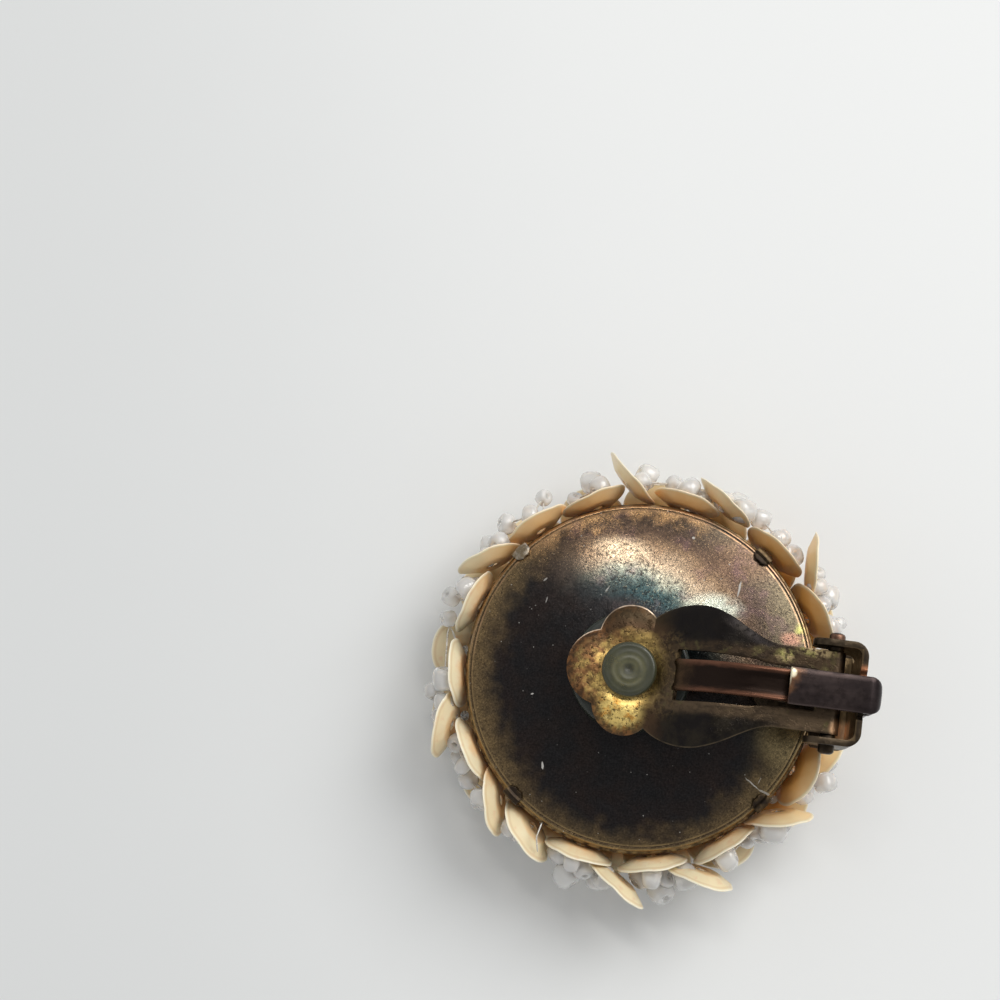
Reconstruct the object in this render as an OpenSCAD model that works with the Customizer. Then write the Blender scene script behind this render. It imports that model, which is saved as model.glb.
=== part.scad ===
// A clip-on earring lying on its beaded face: a domed back plate with a spring clip, closed over
// a domed screen that carries shingled rows of small cupped petals.
// The origin is the middle of the plate's outer face, where the ear lobe is gripped. X runs from
// the pad to the hinge, and Z points away from the plate. All sizes are in millimetres.

/* [Back plate] */
// Radius of the back plate
plate_r = 12.5; // [12.4:0.05:12.55]
// Height of the plate's dome
plate_rise = 1.4; // [1.35:0.05:1.6]
// Thickness of the plate
plate_t = 0.4; // [0.3:0.05:0.5]
// Depth of the plate's turned edge
skirt_h = 0.6; // [0.5:0.05:0.65]

/* [Front screen] */
// Radius of the screen's flange
flange_r = 12.7; // [12.65:0.05:12.75]
// Depth of the screen's bowl below its flange
bowl_depth = 4.2; // [3.9:0.1:4.2]
// Thickness of the screen
screen_t = 0.35; // [0.25:0.05:0.4]
// Width of each claw that folds over the plate
claw_w = 1.5; // [1:0.1:1.8]

/* [Petals] */
// Radius of a cupped petal
petal_r = 2.5; // [2.4:0.05:2.5]
// Depth of the cup
petal_d = 0.6; // [0.5:0.05:0.65]
// Thickness of a petal
petal_t = 0.2; // [0.1:0.02:0.2]
// Radius of the hole in a petal
petal_hole_r = 0.45; // [0.3:0.05:0.6]

/* [Hinge bracket] */
// Thickness of the bracket's sheet
bracket_t = 0.45; // [0.4:0.05:0.5]
// Half the width of the bracket
bracket_y = 3.55; // [3.5:0.05:3.7]
// Outer face of the end wall
wall_x = 15.4; // [15.2:0.05:15.5]
// Top of the end wall and the ears
wall_top = 6.1; // [5.9:0.1:6.1]
// Lower edge of the ears
ear_bottom = 3; // [2.6:0.1:3.2]
// Tilt of the foot, which follows the dome
foot_tilt = 9; // [8:0.5:10]

/* [Clip lever] */
// Thickness of the lever's sheet
lever_t = 0.45; // [0.35:0.05:0.45]
// Underside of the paddle above the plate
paddle_z = 1.6; // [1.6:0.05:1.7]
// Slope of the bend between the paddle and the arms
bend_slope = 38; // [36:1:40]
// Radius of that bend, to the middle of the sheet
bend_r = 3; // [2.8:0.1:3.2]
// Half the width across the wings
wing_y = 4.9; // [4.6:0.1:5]
// Half the width of the arms at the hinge
arm_y = 2.8; // [2.6:0.05:2.8]
// Half the width of the raised tongue
tongue_y = 1.1; // [0.9:0.05:1.2]
// Distance from the plate's middle to the hinge pins
pin_x = 13.3; // [13.2:0.05:13.4]
// Height of the hinge pins
pin_z = 4.5; // [4.4:0.05:4.6]
// Radius of a hinge pin
pin_r = 0.55; // [0.5:0.05:0.6]
// Radial clearance of the pins in the ears
pin_gap = 0.05; // [0.03:0.01:0.08]

/* [Ear pad] */
// Middle of the pad along the lever
pad_x = -0.6; // [-0.7:0.05:-0.5]
// Radius of the pad's disc
pad_r = 4.35; // [4:0.05:4.5]
// Underside of the disc above the plate
pad_z = 0.15; // [0.1:0.05:0.3]
// Radius of the pad's knob
knob_r = 1.88; // [1.7:0.02:2]
// Top of the knob
knob_top = 3; // [2.8:0.1:3.3]

/* [Spring strip] */
// Width of the strip
strip_w = 2.5; // [2.3:0.1:2.6]
// Thickness of the strip
strip_t = 0.4; // [0.3:0.05:0.4]
// Where the strip's tip ends
strip_tip_x = 10.3; // [10:0.1:11]
// Underside of the strip
strip_z = 6.55; // [6.5:0.05:6.7]
// How far out the strip's bend reaches
strip_out_x = 16.5; // [16.2:0.1:16.6]

/* [Hidden] */
$fn = 96;
// Small overlap between shapes that are fused
eps = 0.05;
// Facets of the large arcs
arc_fn = 720;

// The petals on the rim, in order round the plate: angle, distance of the hole from the middle,
// turn about the upright, and lean. Each lies against the rim, or is turned so that one edge
// stands out.
RIM = [
    [27, 12.9, 10, 15],
    [41, 14.7, -40, 0],
    [50, 13, 5, 10],
    [72, 13.95, -20, 0],
    [82, 12.9, -5, 5],
    [101, 14.4, -55, 0],
    [111, 12.95, 10, 5],
    [131, 13.1, 0, 5],
    [150, 13.7, -30, 5],
    [163, 12.9, -5, 5],
    [186, 12.8, 5, 10],
    [202, 14.2, -30, 10],
    [211, 12.8, 0, 10],
    [229, 13.5, -35, 10],
    [242, 13.3, -25, 20],
    [258, 12.8, 0, 10],
    [272, 14.5, -35, 5],
    [281, 12.85, 5, 10],
    [295, 14.4, -35, 10],
    [304, 12.8, 5, 10],
    [323, 13.7, -40, 10],
    [336, 12.8, 5, 25]
];

// The full rings of petals. Count, distance of the holes, turn, lean, height, angle of the first.
SIDE_ROW = [17, 12.7, -20, 52, -6.7, 8];
FRONT_ROWS = [[11, 8.8, -10, 57, -6.35, 0], [5, 4.5, -8, 70, -6.5, 18], [1, 0, 0, 90, -6.5, 0]];
// The side row bulges at these angles, by these distances
SIDE_BULGES = [[188, 0.9], [349, 0.6]];

function petal_name(i) = str("rim_petal_", i < 9 ? "0" : "", i + 1);

// Height of the rim petals' holes
rim_height = -3.05;

// Radius of the sphere whose cap has the given radius and rise
function cap_radius(r, rise) = (r * r + rise * rise) / (2 * rise);
plate_sphere_r = cap_radius(plate_r, plate_rise);
petal_sphere_r = cap_radius(petal_r, petal_d);
// The plate's surface is this far below its middle at a distance r
function plate_drop(r) = plate_sphere_r - sqrt(plate_sphere_r * plate_sphere_r - r * r);
skirt_z = -plate_rise - skirt_h;
flange_top = skirt_z - 0.1;
flange_t = 0.3;
// The bowl's shoulder and crown
shoulder_r = 3.4;
crown_r = 50;
claw_gap = 0.12;
claw_t = 0.28;
claw_angles = [51, 141, 231, 321];
claw_in = 11.85;
// The foot of the bracket
foot_in = 8.1;
foot_z = -0.49;
tab_r = 1.6;
corner_r = 1;
ear_in = 11.7;
ear_round = 1.2;
dimple_x = 10.25;
rivet_z = 3;
rivet_r = 0.42;
rivet_head_r = 0.65;
// The strip bows out over the wall, then turns back in and runs down it
tail_gap = 0.05;
tail_x = wall_x + tail_gap;
tail_mid = tail_x + strip_t / 2;
tail_bottom = 1.6;
bow_r = 0.75;
bow_x = strip_out_x - strip_t / 2 - bow_r;
bow_z = strip_z + strip_t / 2 - bow_r;
bow_turn = 125;
back_r = 0.8;
bow_steps = 16;
// The lever's bend, from the paddle up to the arms
paddle_mid = paddle_z + lever_t / 2;
bend_x = 0.2;
arm_mid = pin_z + 0.7 - lever_t / 2;
arc_rise = 2 * bend_r * (1 - cos(bend_slope));
slope_len = (arm_mid - paddle_mid - arc_rise) / sin(bend_slope);
slope_x = bend_x + bend_r * sin(bend_slope);
slope_z = paddle_mid + bend_r * (1 - cos(bend_slope));
top_x = slope_x + slope_len * cos(bend_slope);
top_z = slope_z + slope_len * sin(bend_slope);
arm_x = top_x + bend_r * sin(bend_slope);
bend_steps = 10;
heel_r = 0.72;
// The tongue is one long arch between the paddle's neck and the heel
tongue_r = 7.84;
tongue_cx = 8.95;
tongue_cz = -1.59;
tongue_t = 0.4;
tongue_from = 56;
tongue_to = 147;
slot_y = 1.8;
slot_from = 2.75;
slot_to = 12.2;
// The paddle's three lobes: middle x, middle y, radius
LOBES = [[-2.4, 0, 2.65], [-0.75, 2.35, 2.2], [-0.75, -2.35, 2.2]];
wing_x = 3.9;
wing_end_x = 9.8;
wing_from = 148;
wing_steps = 12;
stem_r = 1.15;
stem_hole_r = 1.25;
disc_top = paddle_z - 0.08;
disc_round = 0.35;
knob_bottom = paddle_z + lever_t + 0.08;
knob_round = 0.3;

// Outline of a part of the plane between two angles, as wide as it needs to be
module sector(r, from, to) {
    steps = 6;
    polygon(concat([[0, 0]], [for (i = [0:steps]) let (a = from + (to - from) * i / steps)
        [2 * r * cos(a), 2 * r * sin(a)]]));
}

// A band of sheet bent round an arc, seen from the side
module arc_band(r, t, from, to) {
    intersection() {
        difference() {
            circle(r = r + t / 2, $fn = 360);
            circle(r = r - t / 2, $fn = 360);
        }
        sector(r, from, to);
    }
}

// Stands a side view (x, z) up and makes it wide across Y
module across(width) {
    translate([0, width / 2, 0]) rotate([90, 0, 0]) linear_extrude(width) children();
}

module back_plate() {
    color([0.3, 0.25, 0.17]) rotate_extrude() {
        intersection() {
            translate([0, -plate_sphere_r]) difference() {
                circle(r = plate_sphere_r, $fn = arc_fn);
                circle(r = plate_sphere_r - plate_t, $fn = arc_fn);
            }
            translate([0, -plate_rise - plate_t - 1]) square([plate_r, plate_rise + plate_t + 2]);
        }
        translate([plate_r - plate_t, skirt_z]) square([plate_t, skirt_h - eps]);
    }
}

// Half of the bowl's section, filled, drawn in by an inset
module bowl_section(inset) {
    intersection() {
        translate([0, flange_top - bowl_depth + crown_r]) circle(r = crown_r - inset, $fn = arc_fn);
        union() {
            translate([plate_r - eps - shoulder_r, flange_top])
                circle(r = shoulder_r - inset, $fn = 360);
            translate([0, flange_top - 2 * bowl_depth])
                square([plate_r - eps - shoulder_r, 2 * bowl_depth]);
        }
        translate([0, flange_top - 2 * bowl_depth]) square([2 * plate_r, 2 * bowl_depth]);
    }
}

// One claw: a leg outside the plate's edge and a tip folded over the plate
module claw() {
    leg_in = plate_r + claw_gap;
    tip_bottom = -plate_drop(claw_in) + claw_gap;
    translate([leg_in, -claw_w / 2, flange_top - flange_t])
        cube([claw_t, claw_w, tip_bottom + claw_t - flange_top + flange_t]);
    translate([claw_in, -claw_w / 2, tip_bottom]) cube([leg_in + claw_t - claw_in, claw_w, claw_t]);
}

module front_screen() {
    color([0.45, 0.38, 0.25]) {
        rotate_extrude() {
            difference() {
                bowl_section(0);
                bowl_section(screen_t);
            }
            translate([flange_r - 0.8, flange_top - flange_t]) square([0.8, flange_t]);
        }
        for (a = claw_angles) rotate([0, 0, a]) claw();
    }
}

// A petal: a shallow cup with a round hole, opening along Z, its hole at the origin
module petal() {
    rotate_extrude() intersection() {
        translate([0, petal_sphere_r]) difference() {
            circle(r = petal_sphere_r + petal_t / 2, $fn = 360);
            circle(r = petal_sphere_r - petal_t / 2, $fn = 360);
        }
        translate([petal_hole_r, -1]) square([petal_r - petal_hole_r, petal_d + 2]);
    }
}

// Puts a petal on the rim: angle, distance, turn, lean, height
module place_petal(angle, distance, turn, lean, height) {
    rotate([0, 0, angle]) translate([distance, 0, height])
        rotate([0, 0, turn]) rotate([0, 90 + lean, 0]) petal();
}

module rim_petal(i) {
    p = RIM[i];
    color([0.9, 0.76, 0.58]) place_petal(p[0], p[1], p[2], p[3], rim_height);
}

// Angle between two directions
function between(a, b) = let (d = abs(a - b) % 360) min(d, 360 - d);
// How far the side row bulges outwards at an angle
function bulge(a) = let (near = [for (b = SIDE_BULGES) b[1] * exp(-pow(between(a, b[0]) / 30, 2))])
    near[0] + near[1];

module petals_side() {
    row = SIDE_ROW;
    color([0.92, 0.8, 0.64]) for (k = [0:row[0] - 1]) let (a = row[5] + 360 * k / row[0])
        place_petal(a, row[1] + bulge(a), row[2], row[3], row[4]);
}

module petals_front() {
    color([0.92, 0.8, 0.64]) for (row = FRONT_ROWS, k = [0:row[0] - 1])
        place_petal(row[5] + 360 * k / row[0], row[1], row[2], row[3], row[4]);
}

// The bracket's foot: a round tab that widens to the end wall, tilted with the dome
module foot() {
    wide_x = 12.4;
    run = (wall_x - foot_in) / cos(foot_tilt);
    translate([foot_in, 0, foot_z]) rotate([0, foot_tilt, 0]) {
        linear_extrude(bracket_t) intersection() {
            union() {
                translate([tab_r, 0]) circle(r = tab_r);
                translate([tab_r, -tab_r]) square([run, 2 * tab_r]);
                translate([wide_x - foot_in, -bracket_y]) square([run, 2 * bracket_y]);
            }
            translate([0, -bracket_y]) square([run - eps, 2 * bracket_y]);
        }
        translate([dimple_x - foot_in, 0, bracket_t - eps]) cylinder(r1 = 0.6, r2 = 0.42, h = 0.25);
    }
}

// A U seen from above: the end wall and the two ears, with round corners
module ear_plan() {
    difference() {
        ear_outline(bracket_y, wall_x, corner_r);
        ear_outline(bracket_y - bracket_t, wall_x - bracket_t, corner_r - bracket_t);
    }
}

module ear_outline(y, x, r) {
    translate([ear_in - 1, -y]) square([x - r - ear_in + 1, 2 * y]);
    translate([x - r - eps, -y + r]) square([r + eps, 2 * y - 2 * r]);
    for (s = [-1, 1]) translate([x - r, s * (y - r)]) circle(r = r);
}

// The ears' outline from the side, round at their free corners
module ear_side() {
    x0 = ear_in + ear_round;
    translate([x0, ear_bottom]) square([wall_x - x0 + 1, wall_top - ear_bottom]);
    translate([ear_in, ear_bottom + ear_round])
        square([ear_round + eps, wall_top - ear_bottom - 2 * ear_round]);
    for (z = [ear_bottom + ear_round, wall_top - ear_round]) translate([x0, z]) circle(r = ear_round);
}

module rivet() {
    head_x = tail_x + strip_t + tail_gap;
    translate([wall_x - eps, 0, rivet_z]) rotate([0, 90, 0]) {
        cylinder(r = rivet_r, h = head_x - wall_x + 2 * eps);
        translate([0, 0, head_x - wall_x + eps]) cylinder(r1 = rivet_head_r, r2 = 0.4, h = 0.25);
    }
}

module hinge_bracket() {
    foot_end_z = foot_z - (wall_x - foot_in) * tan(foot_tilt);
    color([0.5, 0.4, 0.22]) {
        foot();
        translate([wall_x - bracket_t, -bracket_y, foot_end_z])
            cube([bracket_t, 2 * bracket_y, ear_bottom + eps - foot_end_z]);
        difference() {
            intersection() {
                translate([0, 0, ear_bottom]) linear_extrude(wall_top - ear_bottom) ear_plan();
                across(2 * bracket_y + 1) ear_side();
            }
            translate([pin_x, bracket_y + 1, pin_z]) rotate([90, 0, 0])
                cylinder(r = pin_r + pin_gap, h = 2 * bracket_y + 2);
            translate([wall_x - 1, -strip_w / 2 - 0.3, wall_top - 0.2]) cube([2, strip_w + 0.6, 1]);
        }
        rivet();
    }
}

// A point of a bent sheet's middle line, moved across the sheet by d. A point is x, z and slope.
function beside(q, d) = [q[0] - d * sin(q[2]), q[1] + d * cos(q[2])];

// A sheet of the given thickness along such a line, seen from the side
module bent_sheet(line, t) {
    last = len(line) - 1;
    polygon(concat([for (q = line) beside(q, t / 2)], [for (i = [0:last]) beside(line[last - i], -t / 2)]));
}

// The strip's middle from its tip to its tail
back_x = bow_x + bow_r * sin(bow_turn);
slant_run = back_x - tail_mid - back_r * (1 - sin(bow_turn));
back_z = bow_z + bow_r * cos(bow_turn) + slant_run * tan(bow_turn) + back_r * cos(bow_turn);
strip_line = concat(
    [[strip_tip_x, strip_z + strip_t / 2, 0]],
    [for (i = [0:bow_steps]) let (a = bow_turn * i / bow_steps)
        [bow_x + bow_r * sin(a), bow_z + bow_r * cos(a), -a]],
    [for (i = [0:bow_steps]) let (a = bow_turn + (90 - bow_turn) * i / bow_steps)
        [tail_mid + back_r * (1 - sin(a)), back_z - back_r * cos(a), -a]],
    [[tail_mid, tail_bottom, -90]]
);

// The strip lies over the lever's tongue, bows over the wall and is riveted to its outside
module spring_strip() {
    color([0.28, 0.2, 0.2]) difference() {
        across(strip_w) bent_sheet(strip_line, strip_t);
        translate([tail_x - 1, 0, rivet_z]) rotate([0, 90, 0])
            cylinder(r = rivet_r + tail_gap, h = strip_t + 2);
    }
}

// The middle of the lever's sheet from the side: x, z and slope, from the paddle to the pins
lever_line = concat(
    [[-6, paddle_mid, 0]],
    [for (i = [0:bend_steps]) let (a = bend_slope * i / bend_steps)
        [bend_x + bend_r * sin(a), paddle_mid + bend_r * (1 - cos(a)), a]],
    [for (i = [0:bend_steps]) let (a = bend_slope * (1 - i / bend_steps))
        [arm_x - bend_r * sin(a), arm_mid - bend_r * (1 - cos(a)), a]],
    [[pin_x, arm_mid, 0]]
);

// Half the width of the wings behind their widest part, falling smoothly to that of the arms
function wing_half(x) = arm_y + (wing_y - arm_y)
    * (1 + cos(180 * (x - wing_x) / (wing_end_x - wing_x))) / 2;

// One side of the wings and arms from above, from the neck to the pins
wing_side = concat(
    [for (i = [0:wing_steps]) let (a = wing_from - (wing_from - 90) * i / wing_steps)
        [wing_x + wing_y * cos(a), wing_y * sin(a)]],
    [for (i = [1:wing_steps]) let (x = wing_x + (wing_end_x - wing_x) * i / wing_steps)
        [x, wing_half(x)]],
    [[pin_x, arm_y]]
);

// The lever from above
module lever_plan() {
    last = len(wing_side) - 1;
    for (l = LOBES) translate([l[0], l[1]]) circle(r = l[2]);
    translate([-2, -2.7]) square([3, 5.4]);
    polygon(concat(wing_side, [for (i = [0:last]) [wing_side[last - i][0], -wing_side[last - i][1]]]));
}

module clip_lever() {
    color([0.42, 0.33, 0.18]) {
        difference() {
            intersection() {
                across(12) bent_sheet(lever_line, lever_t);
                linear_extrude(20) lever_plan();
            }
            translate([slot_from, -slot_y, 0]) cube([slot_to - slot_from, 2 * slot_y, 10]);
            translate([pad_x, 0, 0]) cylinder(r = stem_hole_r, h = 5);
        }
        across(2 * tongue_y) translate([tongue_cx, tongue_cz])
            arc_band(tongue_r, tongue_t, tongue_from, tongue_to);
        translate([pin_x, arm_y, pin_z]) rotate([90, 0, 0]) cylinder(r = heel_r, h = 2 * arm_y);
        translate([pin_x, bracket_y + 0.6, pin_z]) rotate([90, 0, 0])
            cylinder(r = pin_r, h = 2 * bracket_y + 1.2);
    }
}

// Half of a disc's section with round outer edges
module round_disc(r, bottom, top, edge) {
    translate([0, bottom]) square([r - edge, top - bottom]);
    translate([0, bottom + edge]) square([r, top - bottom - 2 * edge]);
    for (z = [bottom + edge, top - edge]) translate([r - edge, z]) circle(r = edge);
}

module ear_pad() {
    color([0.7, 0.72, 0.5]) translate([pad_x, 0, 0]) rotate_extrude() {
        round_disc(pad_r, pad_z, disc_top, disc_round);
        translate([0, disc_top - eps]) square([stem_r, knob_bottom - disc_top + 2 * eps]);
        round_disc(knob_r, knob_bottom, knob_top, knob_round);
    }
}

back_plate();
front_screen();
hinge_bracket();
spring_strip();
clip_lever();
ear_pad();
for (i = [0:len(RIM) - 1]) rim_petal(i);
petals_side();
petals_front();
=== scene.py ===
import math

import bmesh
import bpy
import numpy as np
from mathutils import Matrix, Vector


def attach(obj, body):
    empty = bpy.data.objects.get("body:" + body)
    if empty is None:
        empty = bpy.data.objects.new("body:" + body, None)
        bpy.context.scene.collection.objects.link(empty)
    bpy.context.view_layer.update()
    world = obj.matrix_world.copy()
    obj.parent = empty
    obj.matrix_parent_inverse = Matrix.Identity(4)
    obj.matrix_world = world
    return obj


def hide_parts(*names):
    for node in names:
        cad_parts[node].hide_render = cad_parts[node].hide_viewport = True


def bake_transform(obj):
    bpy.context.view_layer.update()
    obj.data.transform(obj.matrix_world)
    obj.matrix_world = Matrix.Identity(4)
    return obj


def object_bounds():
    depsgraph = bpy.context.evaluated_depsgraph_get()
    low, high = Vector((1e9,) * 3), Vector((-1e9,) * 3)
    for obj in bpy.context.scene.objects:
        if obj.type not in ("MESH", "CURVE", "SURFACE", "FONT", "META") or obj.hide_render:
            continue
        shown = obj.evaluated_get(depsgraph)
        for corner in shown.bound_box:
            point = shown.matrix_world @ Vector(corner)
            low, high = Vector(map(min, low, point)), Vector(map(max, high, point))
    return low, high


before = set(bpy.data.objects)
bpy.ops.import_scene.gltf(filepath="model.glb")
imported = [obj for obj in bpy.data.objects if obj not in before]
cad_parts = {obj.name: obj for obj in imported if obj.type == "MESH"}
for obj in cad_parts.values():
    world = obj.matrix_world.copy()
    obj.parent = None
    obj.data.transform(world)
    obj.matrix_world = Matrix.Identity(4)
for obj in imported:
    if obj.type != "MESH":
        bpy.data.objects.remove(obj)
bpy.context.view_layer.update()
mm = 0.001
mergeDistance = 1e-7   # in metres
print("frame loaded")


# Mesh helpers: every shape is worked out in millimetres as whole arrays

def pairs(a, b):
    return np.stack([a, b], -1)


def triples(x, y, z):
    # three nets of coordinates as one list of points
    return np.stack([x, y, z], -1).reshape(-1, 3)


def widen(values, columns):
    # a list as a net, the same in every column
    return np.repeat(values[:, None], columns, 1)


def gridFaces(rows, columns, closeRows=False, closeColumns=False):
    # quads of a rows x columns net of points, joined up round either way where it closes
    a, b = np.meshgrid(np.arange(rows if closeRows else rows - 1),
                       np.arange(columns if closeColumns else columns - 1), indexing="ij")
    a1, b1 = (a + 1) % rows, (b + 1) % columns
    quads = np.stack([a * columns + b, a1 * columns + b, a1 * columns + b1, a * columns + b1], -1)
    return quads.reshape(-1, 4)


def joined(parts):
    # one list of points, faces and point values out of several (points, faces, values)
    points, faces, values, count = [], [], {}, 0
    for part in parts:
        points.append(part[0])
        faces.append(part[1] + count)
        count += len(part[0])
        for key, value in (part[2] if len(part) > 2 else {}).items():
            values.setdefault(key, []).append(value)
    return np.vstack(points), np.vstack(faces), {k: np.concatenate(v) for k, v in values.items()}


def makePiece(name, shape, material, body, replaced=(), closed=True):
    # shape: points, faces and, where the finish reads some, values of the points
    points, faces = shape[0], shape[1]
    mesh = bpy.data.meshes.new(name)
    mesh.from_pydata((np.asarray(points) * mm).tolist(), [], np.asarray(faces).tolist())
    for key, value in (shape[2] if len(shape) > 2 else {}).items():
        layer = mesh.attributes.new(key, "FLOAT", "POINT")
        layer.data.foreach_set("value", np.asarray(value, dtype=np.float32))
    work = bmesh.new()
    work.from_mesh(mesh)
    bmesh.ops.remove_doubles(work, verts=work.verts, dist=mergeDistance)
    bmesh.ops.dissolve_degenerate(work, edges=work.edges, dist=mergeDistance)
    if closed:
        bmesh.ops.recalc_face_normals(work, faces=work.faces)
    work.to_mesh(mesh)
    work.free()
    mesh.polygons.foreach_set("use_smooth", [True] * len(mesh.polygons))
    mesh.materials.append(material)
    piece = bpy.data.objects.new(name, mesh)
    bpy.context.scene.collection.objects.link(piece)
    if body:
        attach(piece, body)
    if replaced:
        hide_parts(*replaced)
    return piece


def revolved(profile, steps, closed=False):
    # a profile of (radius, height) points turned once round Z
    turn = np.arange(steps) * 2 * np.pi / steps
    r, z = profile[:, 0], profile[:, 1]
    points = triples(np.outer(r, np.cos(turn)), np.outer(r, np.sin(turn)), widen(z, steps))
    return points, gridFaces(len(profile), steps, closeRows=closed, closeColumns=True)


def arcPoints(x, z, radius, start, end, steps):
    # points of an arc in a plane, from one angle in degrees to another
    a = np.radians(np.linspace(start, end, steps))
    return pairs(x + radius * np.cos(a), z + radius * np.sin(a))


def fade(value, low, high):
    # 0 below low, 1 above high, smooth between
    t = np.clip((value - low) / (high - low), 0, 1)
    return t * t * (3 - 2 * t)


def finishSheet(piece, thickness, edge):
    # gives a bent net its thickness, to both sides alike, and rounds its edges
    thick = piece.modifiers.new("thickness", "SOLIDIFY")
    thick.thickness, thick.offset, thick.use_even_offset = thickness * mm, 0, True
    soft = piece.modifiers.new("softEdge", "BEVEL")
    soft.width, soft.segments, soft.limit_method = edge * mm, 2, "ANGLE"
    soft.angle_limit = math.radians(50)
    soft.harden_normals = False


def tube(path, radius, sides):
    # a round tube along a path of points: rings square to the path, closed by shrinking its ends
    along = np.gradient(path, axis=0)
    along /= np.linalg.norm(along, axis=1)[:, None]
    helper = np.where(np.abs(along[:, 2:3]) < 0.9, [[0, 0, 1.0]], [[1.0, 0, 0]])
    side = np.cross(along, helper)
    side /= np.linalg.norm(side, axis=1)[:, None]
    up = np.cross(side, along)
    turn = np.arange(sides) * 2 * np.pi / sides
    size = np.full(len(path), radius)
    size[[0, -1]] = 0
    ring = side[:, None] * np.cos(turn)[None, :, None] + up[:, None] * np.sin(turn)[None, :, None]
    points = (path[:, None] + ring * size[:, None, None]).reshape(-1, 3)
    return points, gridFaces(len(path), sides, closeColumns=True)


# Materials

class Wire:
    # a node socket that can be added, multiplied and so on like a number
    def __init__(self, shader, socket):
        self.shader, self.socket = shader, socket

    def maths(self, operation, a, b=0.0):
        return self.shader.node("ShaderNodeMath", {"operation": operation}, {0: a, 1: b})

    def __add__(self, other):
        return self.maths("ADD", self, other)

    def __sub__(self, other):
        return self.maths("SUBTRACT", self, other)

    def __mul__(self, other):
        return self.maths("MULTIPLY", self, other)

    def __truediv__(self, other):
        return self.maths("DIVIDE", self, other)

    def __pow__(self, other):
        return self.maths("POWER", self, other)

    def __rsub__(self, other):
        return self.maths("SUBTRACT", other, self)

    __radd__, __rmul__ = __add__, __mul__

    def larger(self, other):
        return self.maths("MAXIMUM", self, other)

    def root(self):
        return self.maths("SQRT", self)


class Finish:
    # one material: its node tree, the colour laid down so far, and short ways to the shared nodes
    def __init__(self, name, **fixed):
        self.material = bpy.data.materials.new(name)
        self.material.use_nodes = True
        self.tree = self.material.node_tree
        self.skin = self.tree.nodes["Principled BSDF"]
        for key, value in fixed.items():
            self.skin.inputs[key.replace("_", " ")].default_value = value
        self.place = self.node("ShaderNodeTexCoord", {}, {}, 3)
        split = self.node("ShaderNodeSeparateXYZ", {}, {0: self.place}).socket.node
        self.x, self.y, self.z = (Wire(self, split.outputs[n]) * 1000 for n in range(3))
        self.colour = None

    def node(self, kind, settings, values, output=0):
        made = self.tree.nodes.new(kind)
        for key, value in settings.items():
            if key == "stops":
                setStops(made.color_ramp, value)
            else:
                setattr(made, key, value)
        for key, value in values.items():
            self.plug(made.inputs[key], value)
        return Wire(self, made.outputs[output])

    def plug(self, socket, value):
        if isinstance(value, Wire):
            self.tree.links.new(value.socket, socket)
        else:
            socket.default_value = value

    def feed(self, name, wire):
        self.tree.links.new(wire.socket, self.skin.inputs[name])

    def noise(self, size, detail=3.0, rough=0.55, stretch=None):
        # cloudy noise with features of about the given size in millimetres
        place = self.place
        if stretch:
            place = self.node("ShaderNodeMapping", {}, {"Vector": place, "Scale": stretch})
        return self.node("ShaderNodeTexNoise", {}, {"Vector": place, "Scale": 1000 / size, "Detail": detail,
                                                    "Roughness": rough})

    def cells(self, size):
        return self.node("ShaderNodeTexVoronoi", {}, {"Vector": self.place, "Scale": 1000 / size})

    def ramp(self, value, stops):
        return self.node("ShaderNodeValToRGB", {"stops": stops}, {0: value})

    def span(self, value, low, high, bottom=0.0, top=1.0):
        # smooth step between low and high
        values = {"Value": value, "From Min": low, "From Max": high, "To Min": bottom, "To Max": top}
        return self.node("ShaderNodeMapRange", {"interpolation_type": "SMOOTHSTEP"}, values)

    def cloud(self, size, low, high, bottom=0.0, top=1.0, detail=4, rough=0.55):
        # noise cut into patches between low and high
        return self.span(self.noise(size, detail, rough), low, high, bottom, top)

    def wobble(self, size, amount, detail=3.0):
        # what is added to a distance so that an edge wanders
        return (self.noise(size, detail) - 0.5) * amount

    def away(self, x, y):
        # distance in plan from a point
        return ((self.x - x) ** 2 + (self.y - y) ** 2).root()

    def side(self):
        # distance from the line through pad and hinge
        return (self.y * self.y).root()

    def spot(self, x, y, rx, ry, soft=0.5):
        # 1 inside an oval in plan, fading to 0 outside it
        far = (((self.x - x) / rx) ** 2 + ((self.y - y) / ry) ** 2).root()
        return self.span(far, 1 + soft, 1 - soft)

    def mix(self, factor, a, b, blend="MIX"):
        made = self.tree.nodes.new("ShaderNodeMix")
        made.data_type, made.blend_type = "RGBA", blend
        for index, value in ((0, factor), (6, a), (7, b)):
            self.plug(made.inputs[index], (*value, 1) if isinstance(value, tuple) else value)
        return Wire(self, made.outputs[2])

    def paint(self, amount, colour, blend="MIX"):
        # lay a colour over what is there so far
        self.colour = self.mix(amount, self.colour, colour, blend)

    def patches(self, rows):
        # ovals of another colour, some broken up by a cloud
        for oval, amount, colour, grain in rows:
            shape = self.spot(*oval)
            if grain:
                shape = shape * self.cloud(*grain)
            self.paint(shape * amount, colour)

    def value(self, name):
        return self.node("ShaderNodeAttribute", {"attribute_name": name}, {}, 2)

    def bump(self, height, strength, distance):
        values = {"Strength": strength, "Distance": distance * mm, "Height": height}
        self.feed("Normal", self.node("ShaderNodeBump", {}, values))

    def done(self, rough, *relief):
        self.feed("Base Color", self.colour)
        self.feed("Roughness", rough)
        if relief:
            self.bump(*relief)
        return self.material


def setStops(ramp, stops):
    while len(ramp.elements) < len(stops):
        ramp.elements.new(0.5)
    for stop, (position, colour) in zip(ramp.elements, stops):
        stop.position, stop.color = position, (*colour, 1)


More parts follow.
